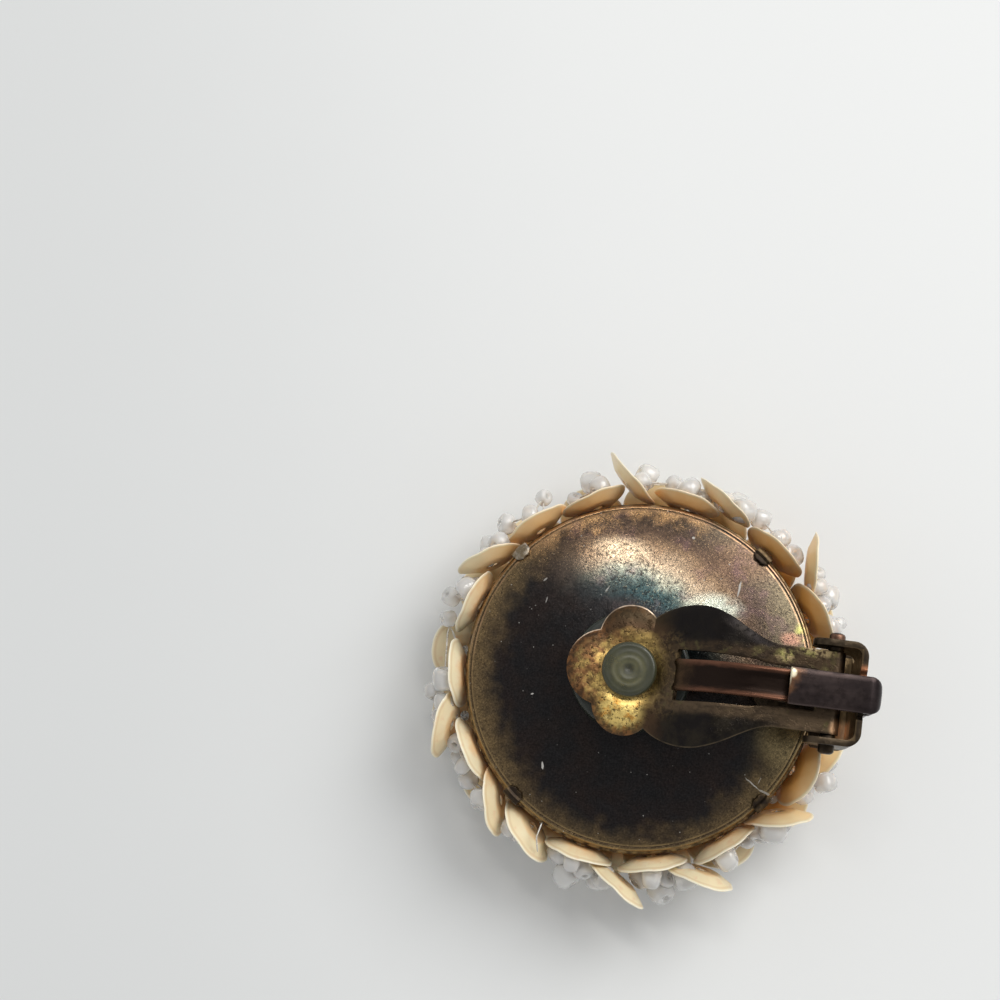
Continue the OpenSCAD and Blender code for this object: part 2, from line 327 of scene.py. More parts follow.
# Places are in mm in plan, from the plate's middle. A patch is (x, y, half sizes, softness), strength,
# colour and the cloud that breaks it up: size in mm, from, to, least.
plateFinish = {
    "film": (-1.5, 0.5),   # middle of the rings of tarnish colour
    "filmReach": 13.0,
    "rings": [(0.0, (0.024, 0.024, 0.026)), (0.345, (0.020, 0.024, 0.028)), (0.395, (0.022, 0.047, 0.053)),
              (0.450, (0.023, 0.042, 0.044)), (0.480, (0.055, 0.075, 0.070)), (0.525, (0.18, 0.185, 0.15)),
              (0.610, (0.33, 0.250, 0.175)), (0.700, (0.22, 0.145, 0.090)), (0.755, (0.105, 0.068, 0.048)),
              (0.840, (0.070, 0.050, 0.037)), (0.940, (0.085, 0.066, 0.046))],
    # painted highlights and painted shade over the film: a pale glint east of the pad, a cream highlight
    # where the window is reflected, and a darker brown in the north-east as painted shade damping the key
    # light's reflection
    "filmHighlightsAndShade": [((4.9, 5.4, 1.6, 0.9, 0.6), 0.8, (0.60, 0.66, 0.56), (0.7, 0.3, 0.55, 0.4)),
                    ((-2.3, 9.0, 1.7, 0.7, 0.6), 0.8, (0.62, 0.49, 0.34), (0.8, 0.3, 0.6, 0.4)),
                    ((6.4, 9.2, 2.6, 1.4, 0.5), 0.45, (0.15, 0.088, 0.055), None)],
    "footPatch": [((11.0, -3.4, 1.7, 1.6, 0.6), 0.75, (0.34, 0.26, 0.13), None)],
    "earPatches": [((11.25, 4.6, 0.5, 0.6), 0.6, (0.42, 0.41, 0.12), (0.4, 0.38, 0.55)),
                   ((10.5, 3.95, 0.7, 0.45), 0.6, (0.40, 0.20, 0.14), None)],
    "west": (0.045, 0.032, 0.026), "east": (0.125, 0.105, 0.066), "southEast": (0.18, 0.14, 0.072),
    "dark": (0.028, 0.027, 0.028), "mottle": (0.046, 0.031, 0.026), "brown": (0.25, 0.17, 0.082),
    "northRimHighlight": (0.54, 0.32, 0.15), "violet": (0.13, 0.075, 0.085), "speck": (0.42, 0.30, 0.15),
    "pit": (0.028, 0.020, 0.017), "dust": (0.62, 0.60, 0.56),
    "line": ((0.32, 0.22, 0.10), (0.46, 0.28, 0.16)), "groove": (0.045, 0.028, 0.018),
    # pale scratches: x, y, angle, half length, half width, strength
    "marks": [(6.4, 7.05, 84, 0.6, 0.07, 0.9), (-7.6, 6.0, 40, 0.2, 0.05, 0.6),
              (-7.3, 4.5, 80, 0.25, 0.05, 0.5), (-3.0, 5.8, 60, 0.25, 0.05, 0.6),
              (8.9, -6.6, -34, 0.68, 0.05, 0.8), (9.9, -7.1, -18, 0.55, 0.08, 0.7),
              (-6.0, -7.35, 100, 0.3, 0.08, 0.9), (-7.4, -2.4, 20, 0.12, 0.06, 0.9),
              (2.7, 10.4, 10, 0.12, 0.1, 0.8), (9.4, -6.3, 70, 0.3, 0.03, 0.5)]}


def tarnishedPlate():
    f = Finish("tarnishedPlate", Metallic=0.9)
    look = plateFinish
    # the film of tarnish: rings of colour, darker to the west; the pale cream and peach rings are partly a
    # painted highlight where the window is reflected
    f.colour = f.ramp((f.away(*look["film"]) + f.wobble(2.4, 2.2)) / look["filmReach"], look["rings"])
    f.paint(f.span(f.x + f.wobble(1.6, 2.0), -3.5, -7.0) * 0.72, look["west"])
    # painted glint, painted highlight and painted shade laid over the film
    f.patches(look["filmHighlightsAndShade"])
    f.paint(f.span(f.x, 8.0, 10.5) * 0.7, look["east"])
    # the dark ground, brown toward the rim, that the film gives way to in the south
    middle = f.away(0, 0) + f.wobble(1.2, 3.4, 5)
    rimward = f.span(middle + f.span(f.y, -6.0, -10.0) * -0.8, 9.5, 12.7)
    ground = f.mix(f.cloud(2.6, 0.35, 0.7, detail=5, rough=0.6) * 0.6, look["dark"], look["mottle"])
    ground = f.mix(rimward, ground, look["brown"])
    north = f.span(f.y * 0.94 + f.x * 0.42 + f.wobble(3.0, 3.2, 4), 1.4, 6.6)
    f.colour = f.mix(north, ground, f.colour)
    f.paint(f.span(f.x + f.wobble(2.2, 3.0, 4), 7.5, 12.5) * 0.75 * (1 - north), look["southEast"])
    f.patches(look["footPatch"])
    # painted highlight: the north rim brightened to copper where the window light catches it
    top = f.span(middle, 10.9, 12.2) * f.span(f.y, 6.0, 10.0) * f.span(f.x, 4.6, 1.6)
    f.paint(top * 0.8, look["northRimHighlight"])
    f.paint(f.cloud(1.9, 0.52, 0.72) * north * 0.45, look["violet"])
    f.patches(look["earPatches"])
    # fine grain
    grain = f.noise(0.13, 4, 0.8)
    speck = f.span(grain, 0.56, 0.72) * f.span(rimward + north, 0.12, 0.9, 0.05, 1.0)
    f.paint(speck * 0.4, look["speck"])
    f.paint(1.0, f.span(grain, 0.33, 0.67, 0.62, 1.42), "MULTIPLY")
    pits = f.cloud(0.2, 0.47, 0.36, rough=0.75) * f.span(rimward + north, 0.1, 1.0, 0.25, 1.0)
    f.paint(pits * 0.75, look["pit"])
    # the turned edge: painted highlight lines on the edge and on the lip, brighter to the north, with
    # painted shade in the groove between
    radius = f.away(0, 0)
    line = (f.span(radius, 12.02, 12.07) * f.span(radius, 12.17, 12.13)).larger(f.span(radius, 12.27, 12.33))
    f.paint(line * f.cloud(1.5, 0.36, 0.6, 0.35) * 0.65, f.mix(f.span(f.y, -5.0, 4.0), *look["line"]))
    f.paint(f.span(radius, 12.15, 12.19) * f.span(radius, 12.28, 12.24) * 0.7, look["groove"])
    # dust and scratches
    dust = f.span(f.cells(0.62) + f.noise(0.1) * 0.06, 0.13, 0.07) * f.cloud(1.7, 0.48, 0.62, 0.0, 0.6, 3)
    for x, y, angle, long, wide, strength in look["marks"]:
        c, d = math.cos(math.radians(angle)), math.sin(math.radians(angle))
        along = ((f.x - x) * c + (f.y - y) * d) / long
        across = ((f.y - y) * c - (f.x - x) * d + f.wobble(0.4, 0.12, 2)) / wide
        dust = dust.larger(f.span((along ** 2 + across ** 2).root(), 1.1, 0.7) * strength)
    f.paint(dust * 0.8, look["dust"])
    f.feed("Metallic", 0.92 - dust * 0.8)
    return f.done(f.cloud(0.5, 0.3, 0.7, 0.18, 0.27) + speck * 0.06 + dust * 0.4,
                  grain * 0.35 + f.noise(1.6, 3) * 1.4 - pits * 0.4, 0.2, 0.05)


def plainBrass(name, colour, dark, rough):
    f = Finish(name, Metallic=0.9)
    f.colour = f.mix(f.cloud(0.7, 0.38, 0.66), dark, colour)
    return f.done(f.cloud(0.3, 0.3, 0.7, rough - 0.08, rough + 0.1, 3), f.noise(0.25, 3), 0.25, 0.03)


leverFinish = {
    "knob": (-0.6, 0), "left": (-2.9, -0.5, 1.5, 1.9, 0.5), "lower": (-1.0, -3.0, 1.45, 1.2, 0.5),
    "gold": (0.80, 0.55, 0.18), "lowerGold": ((1.0, 0.74, 0.25), (0.85, 0.45, 0.10)),
    "ochre": (0.50, 0.25, 0.10), "brown": (0.085, 0.050, 0.028), "upperBrownInShade": (0.052, 0.036, 0.020),
    # near-black wings: partly painted shade for the dark surroundings they reflect
    "wing": ((0.016, 0.0135, 0.013), (0.033, 0.027, 0.019)),
    "neck": [((1.9, 0.0, 1.5, 2.4, 0.5), 0.75, (0.32, 0.215, 0.095), (0.3, 0.42, 0.6, 0.0, 1.0, 4, 0.7))],
    "arm": (0.075, 0.050, 0.030), "lowerArm": (0.135, 0.094, 0.058), "olive": (0.14, 0.12, 0.052),
    "heel": ((12.0, 2.6, 1.1, 0.32, 0.6), (9.9, 2.1, 0.6, 0.4, 0.6)),
    "heelHighlightAndTan": ((0.50, 0.38, 0.20), (0.40, 0.36, 0.13)),
    "copperGlint": [((13.9, -2.35, 0.5, 0.5), 0.9, (0.75, 0.45, 0.25), None)],
    "pit": (0.045, 0.028, 0.014), "fleck": (0.80, 0.60, 0.26), "edge": (0.24, 0.18, 0.11),
    "rim": ((0.075, 0.042, 0.024), (0.25, 0.115, 0.045)), "outline": (-2.0, 3.4, 3.4, 3.0, 0.35),
    "edgeWearAndGlint": (0.95, 0.74, 0.56)}


def wornLever():
    f = Finish("wornLever", Metallic=0.92)
    look = leverFinish
    # paddle: gold round the knob and on the left and lower lobes, brown outside
    wander = f.wobble(0.8, 1.5, 4)
    gold = (f.span(f.away(*look["knob"]) + wander, 3.2, 2.4) * 0.8).larger(f.spot(*look["left"]))
    gold = gold * f.cloud(0.4, 0.36, 0.60, 0.3, 1.0, 5, 0.7)
    lower = f.spot(*look["lower"]) * f.cloud(0.35, 0.34, 0.52, 0.45, rough=0.7)
    # darker brown on the upper lobe, partly painted shade that damps the key light's reflection there
    brown = f.mix(f.span(f.y, 2.9, 3.9), look["brown"], look["upperBrownInShade"])
    ochre = f.mix(f.cloud(0.9, 0.42, 0.62) * f.span(f.x, 0.5, -2.5), look["gold"], look["ochre"])
    f.colour = f.mix(gold, brown, ochre)
    f.paint(lower, f.mix(f.cloud(0.5, 0.5, 0.66, detail=3), *look["lowerGold"]))
    # wings and arms: the wings' near-black is partly dark tarnish and partly painted shade, standing in for
    # the dark surroundings they reflect
    wing = f.span(f.x + f.wobble(0.6, 1.2), 0.7, 2.6)
    f.paint(wing, f.mix(f.cloud(1.2, 0.4, 0.65) * f.span(f.y, 2.5, -2.0, 0.2, 0.8), *look["wing"]))
    f.patches(look["neck"])
    inner = f.span(f.side() + wander * 0.35, 2.8, 2.0) * f.span(f.x, 1.0, 2.6)
    arms = inner.larger(f.span(f.x + wander, 8.4, 11.4))
    streak = f.noise(0.45, 4, 0.6, (0.25, 1, 1))
    f.paint(arms * f.span(streak, 0.32, 0.62, 0.3, 1.0), look["arm"])
    f.paint(arms * f.span(f.y, 0.0, -1.2) * f.span(streak, 0.35, 0.6, 0.4, 1.0) * 0.8, look["lowerArm"])
    f.paint(f.cloud(0.9, 0.55, 0.72, detail=3) * arms * 0.7, look["olive"])
    # painted highlight: an olive-yellow streak along the arm's outer edge by the heel, with tan mottling
    # farther in
    heel = f.spot(*look["heel"][0]).larger(f.spot(*look["heel"][1])) * f.cloud(0.35, 0.38, 0.56)
    f.paint(heel * 0.75, f.mix(f.cloud(0.6, 0.4, 0.6, detail=3), *look["heelHighlightAndTan"]))
    # painted highlight: a copper glint on the curl where the pin's end shines between arm and wall
    f.patches(look["copperGlint"])
    # pits, flecks and the edges: light worn edges, left off the upper wing, and a pale painted highlight
    # along the trefoil's top-left outline
    pits = f.cloud(0.28, 0.45, 0.35, detail=3, rough=0.65)
    f.paint(pits * (1 - wing) * 0.85, look["pit"])
    f.paint(f.cloud(0.2, 0.58, 0.70, detail=2, rough=0.7) * lower.larger(gold * 0.5) * 0.6, look["fleck"])
    inside = f.value("inside")
    edgeWearAndGlint = f.span(inside, 0.11, 0.05) * f.cloud(1.1, 0.30, 0.60, 0.3, detail=3)
    f.paint(edgeWearAndGlint * 0.35 * (1 - wing * f.span(f.y, 2.0, 3.0)), look["edge"])
    rim = f.span(inside + (f.noise(0.4, 5, 0.7) - 0.5) * 1.1, 0.75, 0.2) * f.span(f.x, 0.8, -0.2)
    f.paint(rim * f.span(f.y, 3.2, 2.2, 0.25, 1.0) * 0.8, f.mix(f.cloud(0.35, 0.4, 0.6), *look["rim"]))
    # painted highlight: a thin pale line on the trefoil's top-left outline
    f.paint(edgeWearAndGlint * (f.spot(*look["outline"]) * f.span(f.x, 0.9, 0.2)) * 0.9, look["edgeWearAndGlint"])
    return f.done(f.cloud(0.35, 0.3, 0.7, 0.28, 0.44) + pits * 0.2,
                  f.noise(0.5, 4) + pits * -0.8 + f.noise(0.12, 2) * 0.3, 0.28, 0.05)


tongueFinish = {"middle": (0.020, 0.012, 0.009), "edge": (0.165, 0.075, 0.046),
                "start": (0.085, 0.050, 0.026)}


def tongueBronze():
    f = Finish("tongueBronze", Metallic=0.92)
    streak = f.noise(0.6, 4, 0.6, (0.2, 1.4, 1))
    # dark in the channel's middle as painted shade, copper along its raised edges as painted highlight
    edge = f.span(f.side() + (streak - 0.5) * 0.5, 0.62, 1.02)
    f.colour = f.mix(edge, tongueFinish["middle"], tongueFinish["edge"])
    f.paint(f.span(f.x + f.wobble(0.5, 1.5), 4.2, 2.2), tongueFinish["start"])
    return f.done(f.span(streak, 0.3, 0.7, 0.24, 0.42), streak + f.noise(0.12, 2) * 0.3, 0.2, 0.04)


springFinish = {"steel": ((0.030, 0.022, 0.022), (0.055, 0.040, 0.038)), "tip": (0.26, 0.125, 0.060),
                "edge": (0.40, 0.29, 0.26), "corner": (10.42, 0.85, 0.26, 0.30, 0.4),
                "paintedHighlight": (0.98, 0.90, 0.66), "bow": (0.018, 0.014, 0.015)}


def darkSpring():
    f = Finish("darkSpring", Metallic=0.9)
    look = springFinish
    streak = f.noise(0.8, 4, 0.55, (0.3, 1.2, 1))
    f.colour = f.mix(f.span(streak, 0.3, 0.75), *look["steel"])
    f.paint(f.span(f.x + f.wobble(0.5, 1.0) + f.y * -0.45, 11.0, 9.9), look["tip"])
    edge = f.value("edge") * f.cloud(0.8, 0.3, 0.6, 0.3, detail=3)
    f.paint(edge * 0.5 * f.span(f.y, -1.3, 1.2, 0.25, 1.0), look["edge"])
    # painted highlight on the cut end, brightest at its upper corner
    corner = f.spot(*look["corner"]) * f.span(f.z, 6.70, 6.86)
    f.paint((f.span(f.x, 10.42, 10.34) * f.span(f.y, -0.2, 0.8)).larger(corner) * 0.95, look["paintedHighlight"])
    f.paint(f.span(f.x, 13.5, 15.8) * 0.6, look["bow"])
    return f.done(f.cloud(0.4, 0.3, 0.7, 0.26, 0.40), streak, 0.15, 0.03)


bracketFinish = {"metal": ((0.022, 0.016, 0.011), (0.050, 0.035, 0.021)), "wall": (0.18, 0.13, 0.07),
                 "pit": (0.03, 0.02, 0.015), "edge": (0.30, 0.22, 0.14), "inner": (0.24, 0.165, 0.085),
                 "notchSpot": (15.1, 1.45, 0.6, 0.55, 0.4), "notch": (0.52, 0.22, 0.11),
                 "copperGlintSpot": (14.75, -2.1, 0.6, 0.6), "copperGlint": (1.0, 0.60, 0.33),
                 "pinHead": (0.34, 0.18, 0.12), "corner": (0.016, 0.012, 0.010)}


def wornBracket():
    f = Finish("wornBracket", Metallic=0.92)
    look = bracketFinish
    mottled = f.cloud(0.8, 0.36, 0.66, detail=5, rough=0.6)
    f.colour = f.mix(mottled, *look["metal"])
    f.paint(f.span(f.x, 15.2, 15.35) * f.cloud(1.4, 0.35, 0.6) * 0.35, look["wall"])
    pits = f.cloud(0.25, 0.42, 0.34, detail=3, rough=0.65)
    f.paint(pits * 0.7, look["pit"])
    f.paint(f.value("edge") * f.cloud(0.9, 0.32, 0.6, 0.2, detail=3) * 0.22, look["edge"])
    # painted light: the bracket's inner faces lightened brown, standing in for light reaching inside where
    # it lies in shade
    inner = f.span(f.x, 13.4, 13.9) * f.span(f.x, 15.1, 14.98) * f.span(f.side(), 3.15, 3.08)
    f.paint(inner * 0.85, look["inner"])
    notch = f.spot(*look["notchSpot"]) * f.span(f.z, 5.2, 5.6)
    f.paint(notch * 0.85, look["notch"])
    # painted highlight: a copper glint low inside the bracket, for the pin's bright end
    f.paint(f.spot(*look["copperGlintSpot"]) * f.span(f.x, 15.2, 15.1) * f.span(f.z, 2.5, 1.5), look["copperGlint"])
    head = f.span(f.y, 3.58, 3.66) * f.span(f.y, 4.08, 4.0) * f.span(f.z, 4.6, 4.85)
    f.paint(head * f.cloud(0.4, 0.35, 0.6, 0.3, 0.8, 3), look["pinHead"])
    f.paint(f.span(f.x, 14.2, 14.8) * f.span(f.z, 5.5, 5.9) * (1 - notch) * 0.55, look["corner"])
    return f.done(f.cloud(0.35, 0.3, 0.7, 0.28, 0.46), mottled * 0.6 + pits * -0.6, 0.25, 0.04)


padFinish = {"middle": (-0.6, 0), "reach": 4.4,
             "rings": [(0.0, (0.048, 0.048, 0.026)), (0.06, (0.064, 0.064, 0.032)),
                       (0.11, (0.160, 0.158, 0.080)), (0.17, (0.125, 0.125, 0.062)),
                       (0.24, (0.168, 0.165, 0.084)), (0.30, (0.090, 0.090, 0.044)),
                       (0.40, (0.068, 0.072, 0.035)), (1.0, (0.082, 0.088, 0.042))],
             "cloud": (0.050, 0.056, 0.036), "disc": ((0.016, 0.025, 0.021), (0.034, 0.040, 0.026))}


def clearPad():
    f = Finish("clearPad", Roughness=0.3, IOR=1.48, Transmission_Weight=0.45, Coat_Weight=0.15,
               Coat_Roughness=0.25)
    look = padFinish
    f.colour = f.ramp((f.away(*look["middle"]) + f.wobble(0.6, 0.25, 2)) / look["reach"], look["rings"])
    f.paint(f.cloud(1.3, 0.42, 0.62, detail=3) * 0.45, look["cloud"])
    # the disc painted dark green: its tinted glass, darkened further as painted shade for the shadow under
    # the lever
    f.paint(f.span(f.z, 1.9, 1.6), f.mix(f.noise(1.2, 3), *look["disc"]))
    return f.done(f.cloud(0.9, 0.3, 0.7, 0.26, 0.40, 3), f.noise(0.5, 3), 0.12, 0.04)


petalFinish = {"shell": ((0.82, 0.58, 0.29), (0.89, 0.765, 0.51)), "floor": (0.91, 0.60, 0.32),
               "flare": (0.90, 0.80, 0.56), "rim": (0.96, 0.91, 0.75), "seam": (0.62, 0.40, 0.20),
               "blush": (0.80, 0.45, 0.27), "dirt": (0.15, 0.10, 0.05),
               "north": ((0.95, 0.56, 0.225), (0.99, 0.82, 0.52)),
               "shadeByPlate": (0.74, 0.35, 0.10), "hingeShadeGlow": ((0.82, 0.385, 0.085), (0.96, 0.68, 0.34)),
               "hole": (0.40, 0.22, 0.10)}


def ivoryPetal():
    f = Finish("ivoryPetal", IOR=1.5, Specular_IOR_Level=0.45, Subsurface_Weight=0.06,
               Subsurface_Scale=0.0006, Subsurface_Radius=(1.0, 0.5, 0.25))
    look = petalFinish
    tone, rim, flare = f.value("tone"), f.value("rim"), f.value("flare")
    cloud = f.noise(1.3, 4)
    f.colour = f.mix(f.span(tone + (cloud - 0.5) * 0.9, 0.05, 1.0), *look["shell"])
    # painted light and shade of the facets: the floor deeper peach, the flared side paler where it faces the
    # light
    f.paint((1 - flare) * f.cloud(1.1, 0.3, 0.6, 0.2, 0.75, 3), look["floor"])
    f.paint(flare * 0.5, look["flare"])
    # painted highlight on the rim and painted shade in a fine line just inside it
    f.paint(f.span(rim, 0.96, 1.0) * 0.7, look["rim"])
    f.paint(f.span(rim, 0.86, 0.92) * f.span(rim, 0.97, 0.93) * 0.35, look["seam"])
    f.paint(f.cloud(0.8, 0.55, 0.75, detail=3) * 0.4, look["blush"])
    f.paint(f.span(f.cells(0.5), 0.08, 0.03) * f.cloud(1.5, 0.48, 0.6, detail=3) * 0.6, look["dirt"])
    # warmer to the north; deeper and redder beside the plate and orange by the hinge, both painted shade
    # where the petals' inner sides lie in shade; paler outward
    away = f.away(0, 0) + f.wobble(0.9, 0.8)
    outward = f.span(away, 13.1, 14.9)
    north = f.span(f.y, 2.0, 8.0) * f.span(rim, 0.99, 0.93, 0.35, 1.0)
    f.paint(north * 0.9, f.mix(outward, *look["north"]))
    f.paint(f.span(away, 13.5, 12.7) * 0.7, look["shadeByPlate"])
    hingeShadeGlow = f.span(f.x + (f.noise(1.2) - 0.5), 5.5, 9.5) * f.span(rim, 0.98, 0.9, 0.2, 1.0)
    f.paint(hingeShadeGlow * f.span(f.y, -9.6, -8.0, 0.3, 1.0) * 0.86, f.mix(outward, *look["hingeShadeGlow"]))
    f.paint(f.span(rim, 0.30, 0.17) * 0.5, look["hole"])
    f.feed("Coat Weight", rim * 0.2)
    return f.done(f.span(cloud, 0.3, 0.7, 0.28, 0.44), f.noise(0.35, 3) + f.noise(1.5, 2) * 0.8, 0.12, 0.05)


beadFinish = {"glass": ((0.99, 0.98, 0.96), (1.0, 0.995, 0.97)), "cream": (0.97, 0.91, 0.80)}


def lustreBead():
    f = Finish("lustreBead", IOR=1.5, Transmission_Weight=0.48, Coat_Weight=0.8, Coat_Roughness=0.02,
               Subsurface_Weight=0.42, Subsurface_Scale=0.0012, Subsurface_Radius=(1.0, 0.97, 0.97))
    cloud = f.noise(0.6, 3)
    f.colour = f.mix(f.span(f.value("tone") + (cloud - 0.5) * 0.7, 0.0, 1.0), *beadFinish["glass"])
    f.paint(f.cloud(0.9, 0.55, 0.8, detail=3) * 0.3, beadFinish["cream"])
    return f.done(f.span(cloud, 0.3, 0.7, 0.03, 0.10), f.noise(0.4, 2), 0.1, 0.04)


def nylonThread():
    f = Finish("nylonThread", IOR=1.5, Transmission_Weight=0.3)
    f.colour = f.mix(f.cloud(0.8, 0.35, 0.65, detail=3), (0.72, 0.68, 0.60), (0.90, 0.88, 0.84))
    return f.done(f.cloud(0.5, 0.3, 0.7, 0.2, 0.35, 3))


finishes = {"plate": tarnishedPlate(), "lever": wornLever(), "tongue": tongueBronze(),
            "spring": darkSpring(), "bracket": wornBracket(), "pad": clearPad(), "petal": ivoryPetal(),
            "bead": lustreBead(), "thread": nylonThread(),
            "screen": plainBrass("dullScreen", (0.30, 0.20, 0.09), (0.06, 0.04, 0.022), 0.38),
            # the two claw finishes are lit and shaded copies of one brass: painted highlight and painted
            # shade
            "tab": plainBrass("paintedShadeClaw", (0.12, 0.08, 0.04), (0.035, 0.025, 0.018), 0.40),
            "claw": plainBrass("paintedLitClaw", (0.62, 0.56, 0.48), (0.22, 0.17, 0.11), 0.28)}
print("materials made")


# Plate and screen

# groove: its radius, half width and depth
plateSize = {"radius": 12.5, "rise": 1.4, "thickness": 0.4, "edge": 0.24, "wall": 0.4, "skirtBottom": -2.0,
             "foot": 0.1, "groove": (12.19, 0.045, 0.035), "steps": 224}


def domeHeight(r):
    # the plate's outer face: a sphere cap that falls by its rise at its radius
    sphere = (plateSize["radius"] ** 2 + plateSize["rise"] ** 2) / (2 * plateSize["rise"])
    return np.sqrt(sphere ** 2 - r ** 2) - sphere


def buildPlate():
    # closed section: the dome with its groove, a rounded shoulder, the turned edge and back up the inside
    s = plateSize
    shoulder, inner = s["radius"] - s["edge"], s["radius"] - s["wall"]
    top = np.concatenate([np.linspace(0, 11.85, 44), np.linspace(11.95, 12.23, 7), [shoulder]])
    at, wide, deep = s["groove"]
    groove = deep * np.exp(-((top - at) / wide) ** 2)
    bend = arcPoints(shoulder, domeHeight(top[-1]) - s["edge"], s["edge"], 78, 0, 7)
    foot = arcPoints(s["radius"] - s["foot"], s["skirtBottom"] + s["foot"], s["foot"], 0, -180, 5)
    foot[:, 0] = np.where(foot[:, 0] < s["radius"] - 1.5 * s["foot"], inner, foot[:, 0])
    under = top[::-3]
    section = np.vstack([pairs(top, domeHeight(top) - groove), bend, foot,
                         pairs(np.minimum(under, inner), domeHeight(under) - s["thickness"])])
    makePiece("backPlate", revolved(section, s["steps"]), finishes["plate"], "earring", ("back_plate",))


screenSize = {"flange": 12.7, "top": -2.1, "bottom": -6.3, "shoulder": 3.4, "crown": 50.0, "thickness": 0.35,
              "inPlate": 0.05, "steps": 128}


def buildScreen():
    # bowl: a flange, a round shoulder and a shallow crown, as one closed section turned round
    s = screenSize
    corner = plateSize["radius"] - s["inPlate"] - s["shoulder"]
    r = np.linspace(corner, 0, 14)
    a = np.radians(np.linspace(0, -83, 16))
    sides = []
    for inset in (0, s["thickness"]):
        bend = s["shoulder"] - inset
        shoulder = pairs(corner + bend * np.cos(a), s["top"] - 0.15 + bend * np.sin(a) * 0.985)
        crown = pairs(r, s["bottom"] + s["crown"] - np.sqrt((s["crown"] - inset) ** 2 - r ** 2))
        sides.append(np.vstack([shoulder, crown]))
    flange = np.array([[-0.8, 0], [-0.06, 0], [0, -0.06], [0, -0.24], [-0.06, -0.3]])
    section = np.vstack([flange + [s["flange"], s["top"]], sides[0], sides[1][::-1]])
    makePiece("frontScreen", revolved(section, s["steps"]), finishes["screen"], "earring", ("front_screen",))


clawSize = {"angles": (51, 141, 231, 321), "paintedHighlight": 141, "half": 0.66, "sheet": 0.24, "edge": 0.07,
            "out": 12.77, "low": -2.3, "fold": (12.5, -1.28, 0.27), "over": (12.35, 12.0), "lift": 0.20}


def buildClaws():
    # each is a strip that climbs past the plate's edge and folds over it, its tip rounded
    s = clawSize
    over = np.linspace(*s["over"], 5)
    path = np.vstack([pairs(np.full(5, s["out"]), np.linspace(s["low"], -1.32, 5)),
                      arcPoints(*s["fold"], 8, 84, 6), pairs(over, domeHeight(over) + s["lift"])])
    along = np.linspace(0, 1, len(path))[:, None]
    v = np.linspace(-1, 1, 9)[None]
    y = s["half"] * np.sqrt(np.clip(1 - fade(along, 0.62, 1.06) ** 2, 0.06, 1)) * v
    x, z = path[:, :1] - 0.05 * v ** 2, path[:, 1:] - 0.02 * v ** 2 * along
    for n, angle in enumerate(s["angles"]):
        c, d = math.cos(math.radians(angle)), math.sin(math.radians(angle))
        # one claw painted bright as a painted highlight, the rest dark as painted shade
        finish = finishes["claw" if angle == s["paintedHighlight"] else "tab"]
        shape = (triples(x * c - y * d, x * d + y * c, z), gridFaces(*y.shape))
        claw = makePiece("claw%d" % n, shape, finish, "earring", (), closed=False)
        finishSheet(claw, s["sheet"], s["edge"])


buildPlate()
buildScreen()
buildClaws()
print("plate and screen made")


# Lever

# wing: middle and radius. lobes: x, y and radius of each round of the trefoil. ring: radius, width and
# depth of the groove pressed in round the knob
leverSize = {"sheet": 0.45, "edge": 0.08, "paddleZ": 1.825, "bendStart": 0.2, "bendRadius": 3.0,
             "slope": 38.0, "armZ": 4.975, "pin": (13.3, 4.5), "curl": 0.475, "slot": (2.75, 12.2),
             "slotHalf": (1.8, 1.5), "wing": (3.9, 4.9), "wingStart": 4.15, "fall": 5.9, "arm": 2.8,
             "knob": -0.6, "raised": 0.21, "turnedEdge": 0.16, "ring": (2.05, 0.28, 0.09),
             "lobes": ((-2.4, 0.0, 2.65), (-0.75, 2.35, 2.2), (-0.75, -2.35, 2.2))}


def leverLine(x):
    # the sheet's middle from the side: flat, an arc up, a straight slope, an arc back, flat
    s = leverSize
    a = math.radians(s["slope"])
    r = s["bendRadius"]
    run = (s["armZ"] - s["paddleZ"] - 2 * r * (1 - math.cos(a))) / math.tan(a)
    x1, x2 = s["bendStart"] + r * math.sin(a), s["bendStart"] + r * math.sin(a) + run
    x3 = x2 + r * math.sin(a)
    z = np.full_like(x, s["paddleZ"])
    first, second, third = (x > s["bendStart"]) & (x <= x1), (x > x1) & (x <= x2), (x > x2) & (x <= x3)
    z[first] = s["paddleZ"] + r - np.sqrt(r * r - (x[first] - s["bendStart"]) ** 2)
    z[second] = s["paddleZ"] + r * (1 - math.cos(a)) + (x[second] - x1) * math.tan(a)
    z[third] = s["armZ"] - r + np.sqrt(r * r - (x3 - x[third]) ** 2)
    z[x > x3] = s["armZ"]
    return z


def roundHalf(x, middle, radius):
    # half the width of a circle at x
    return np.sqrt(np.clip(radius * radius - (x - middle) ** 2, 0, None))


def leverHalf(x):
    # half the width: the outline of the trefoil, the round of the wings, then a smooth fall to the arms
    s = leverSize
    wide = np.zeros_like(x)
    for cx, cy, r in s["lobes"][:2]:
        wide = np.where(np.abs(x - cx) <= r, np.maximum(wide, cy + roundHalf(x, cx, r)), wide)
    cx, r = s["wing"]
    wide = np.where((x > cx - s["wingStart"]) & (x <= cx), np.maximum(wide, roundHalf(x, cx, r)), wide)
    fall = s["arm"] + (r - s["arm"]) * (1 + np.cos(np.pi * (x - cx) / s["fall"])) / 2
    wide = np.where((x > cx) & (x <= cx + s["fall"]), fall, wide)
    return np.where(x > cx + s["fall"], s["arm"], wide)


def edgeDistance(x, y):
    # how far a point in plan lies inside the outline
    s = leverSize
    cx, radius = s["wing"]
    inside = np.where(x < cx + 1, radius - np.hypot(x - cx, y), (leverHalf(x) - np.abs(y)) * 0.93)
    for lobeX, lobeY, r in s["lobes"]:
        inside = np.maximum(inside, r - np.hypot(x - lobeX, y - lobeY))
    return np.maximum(inside, 0)


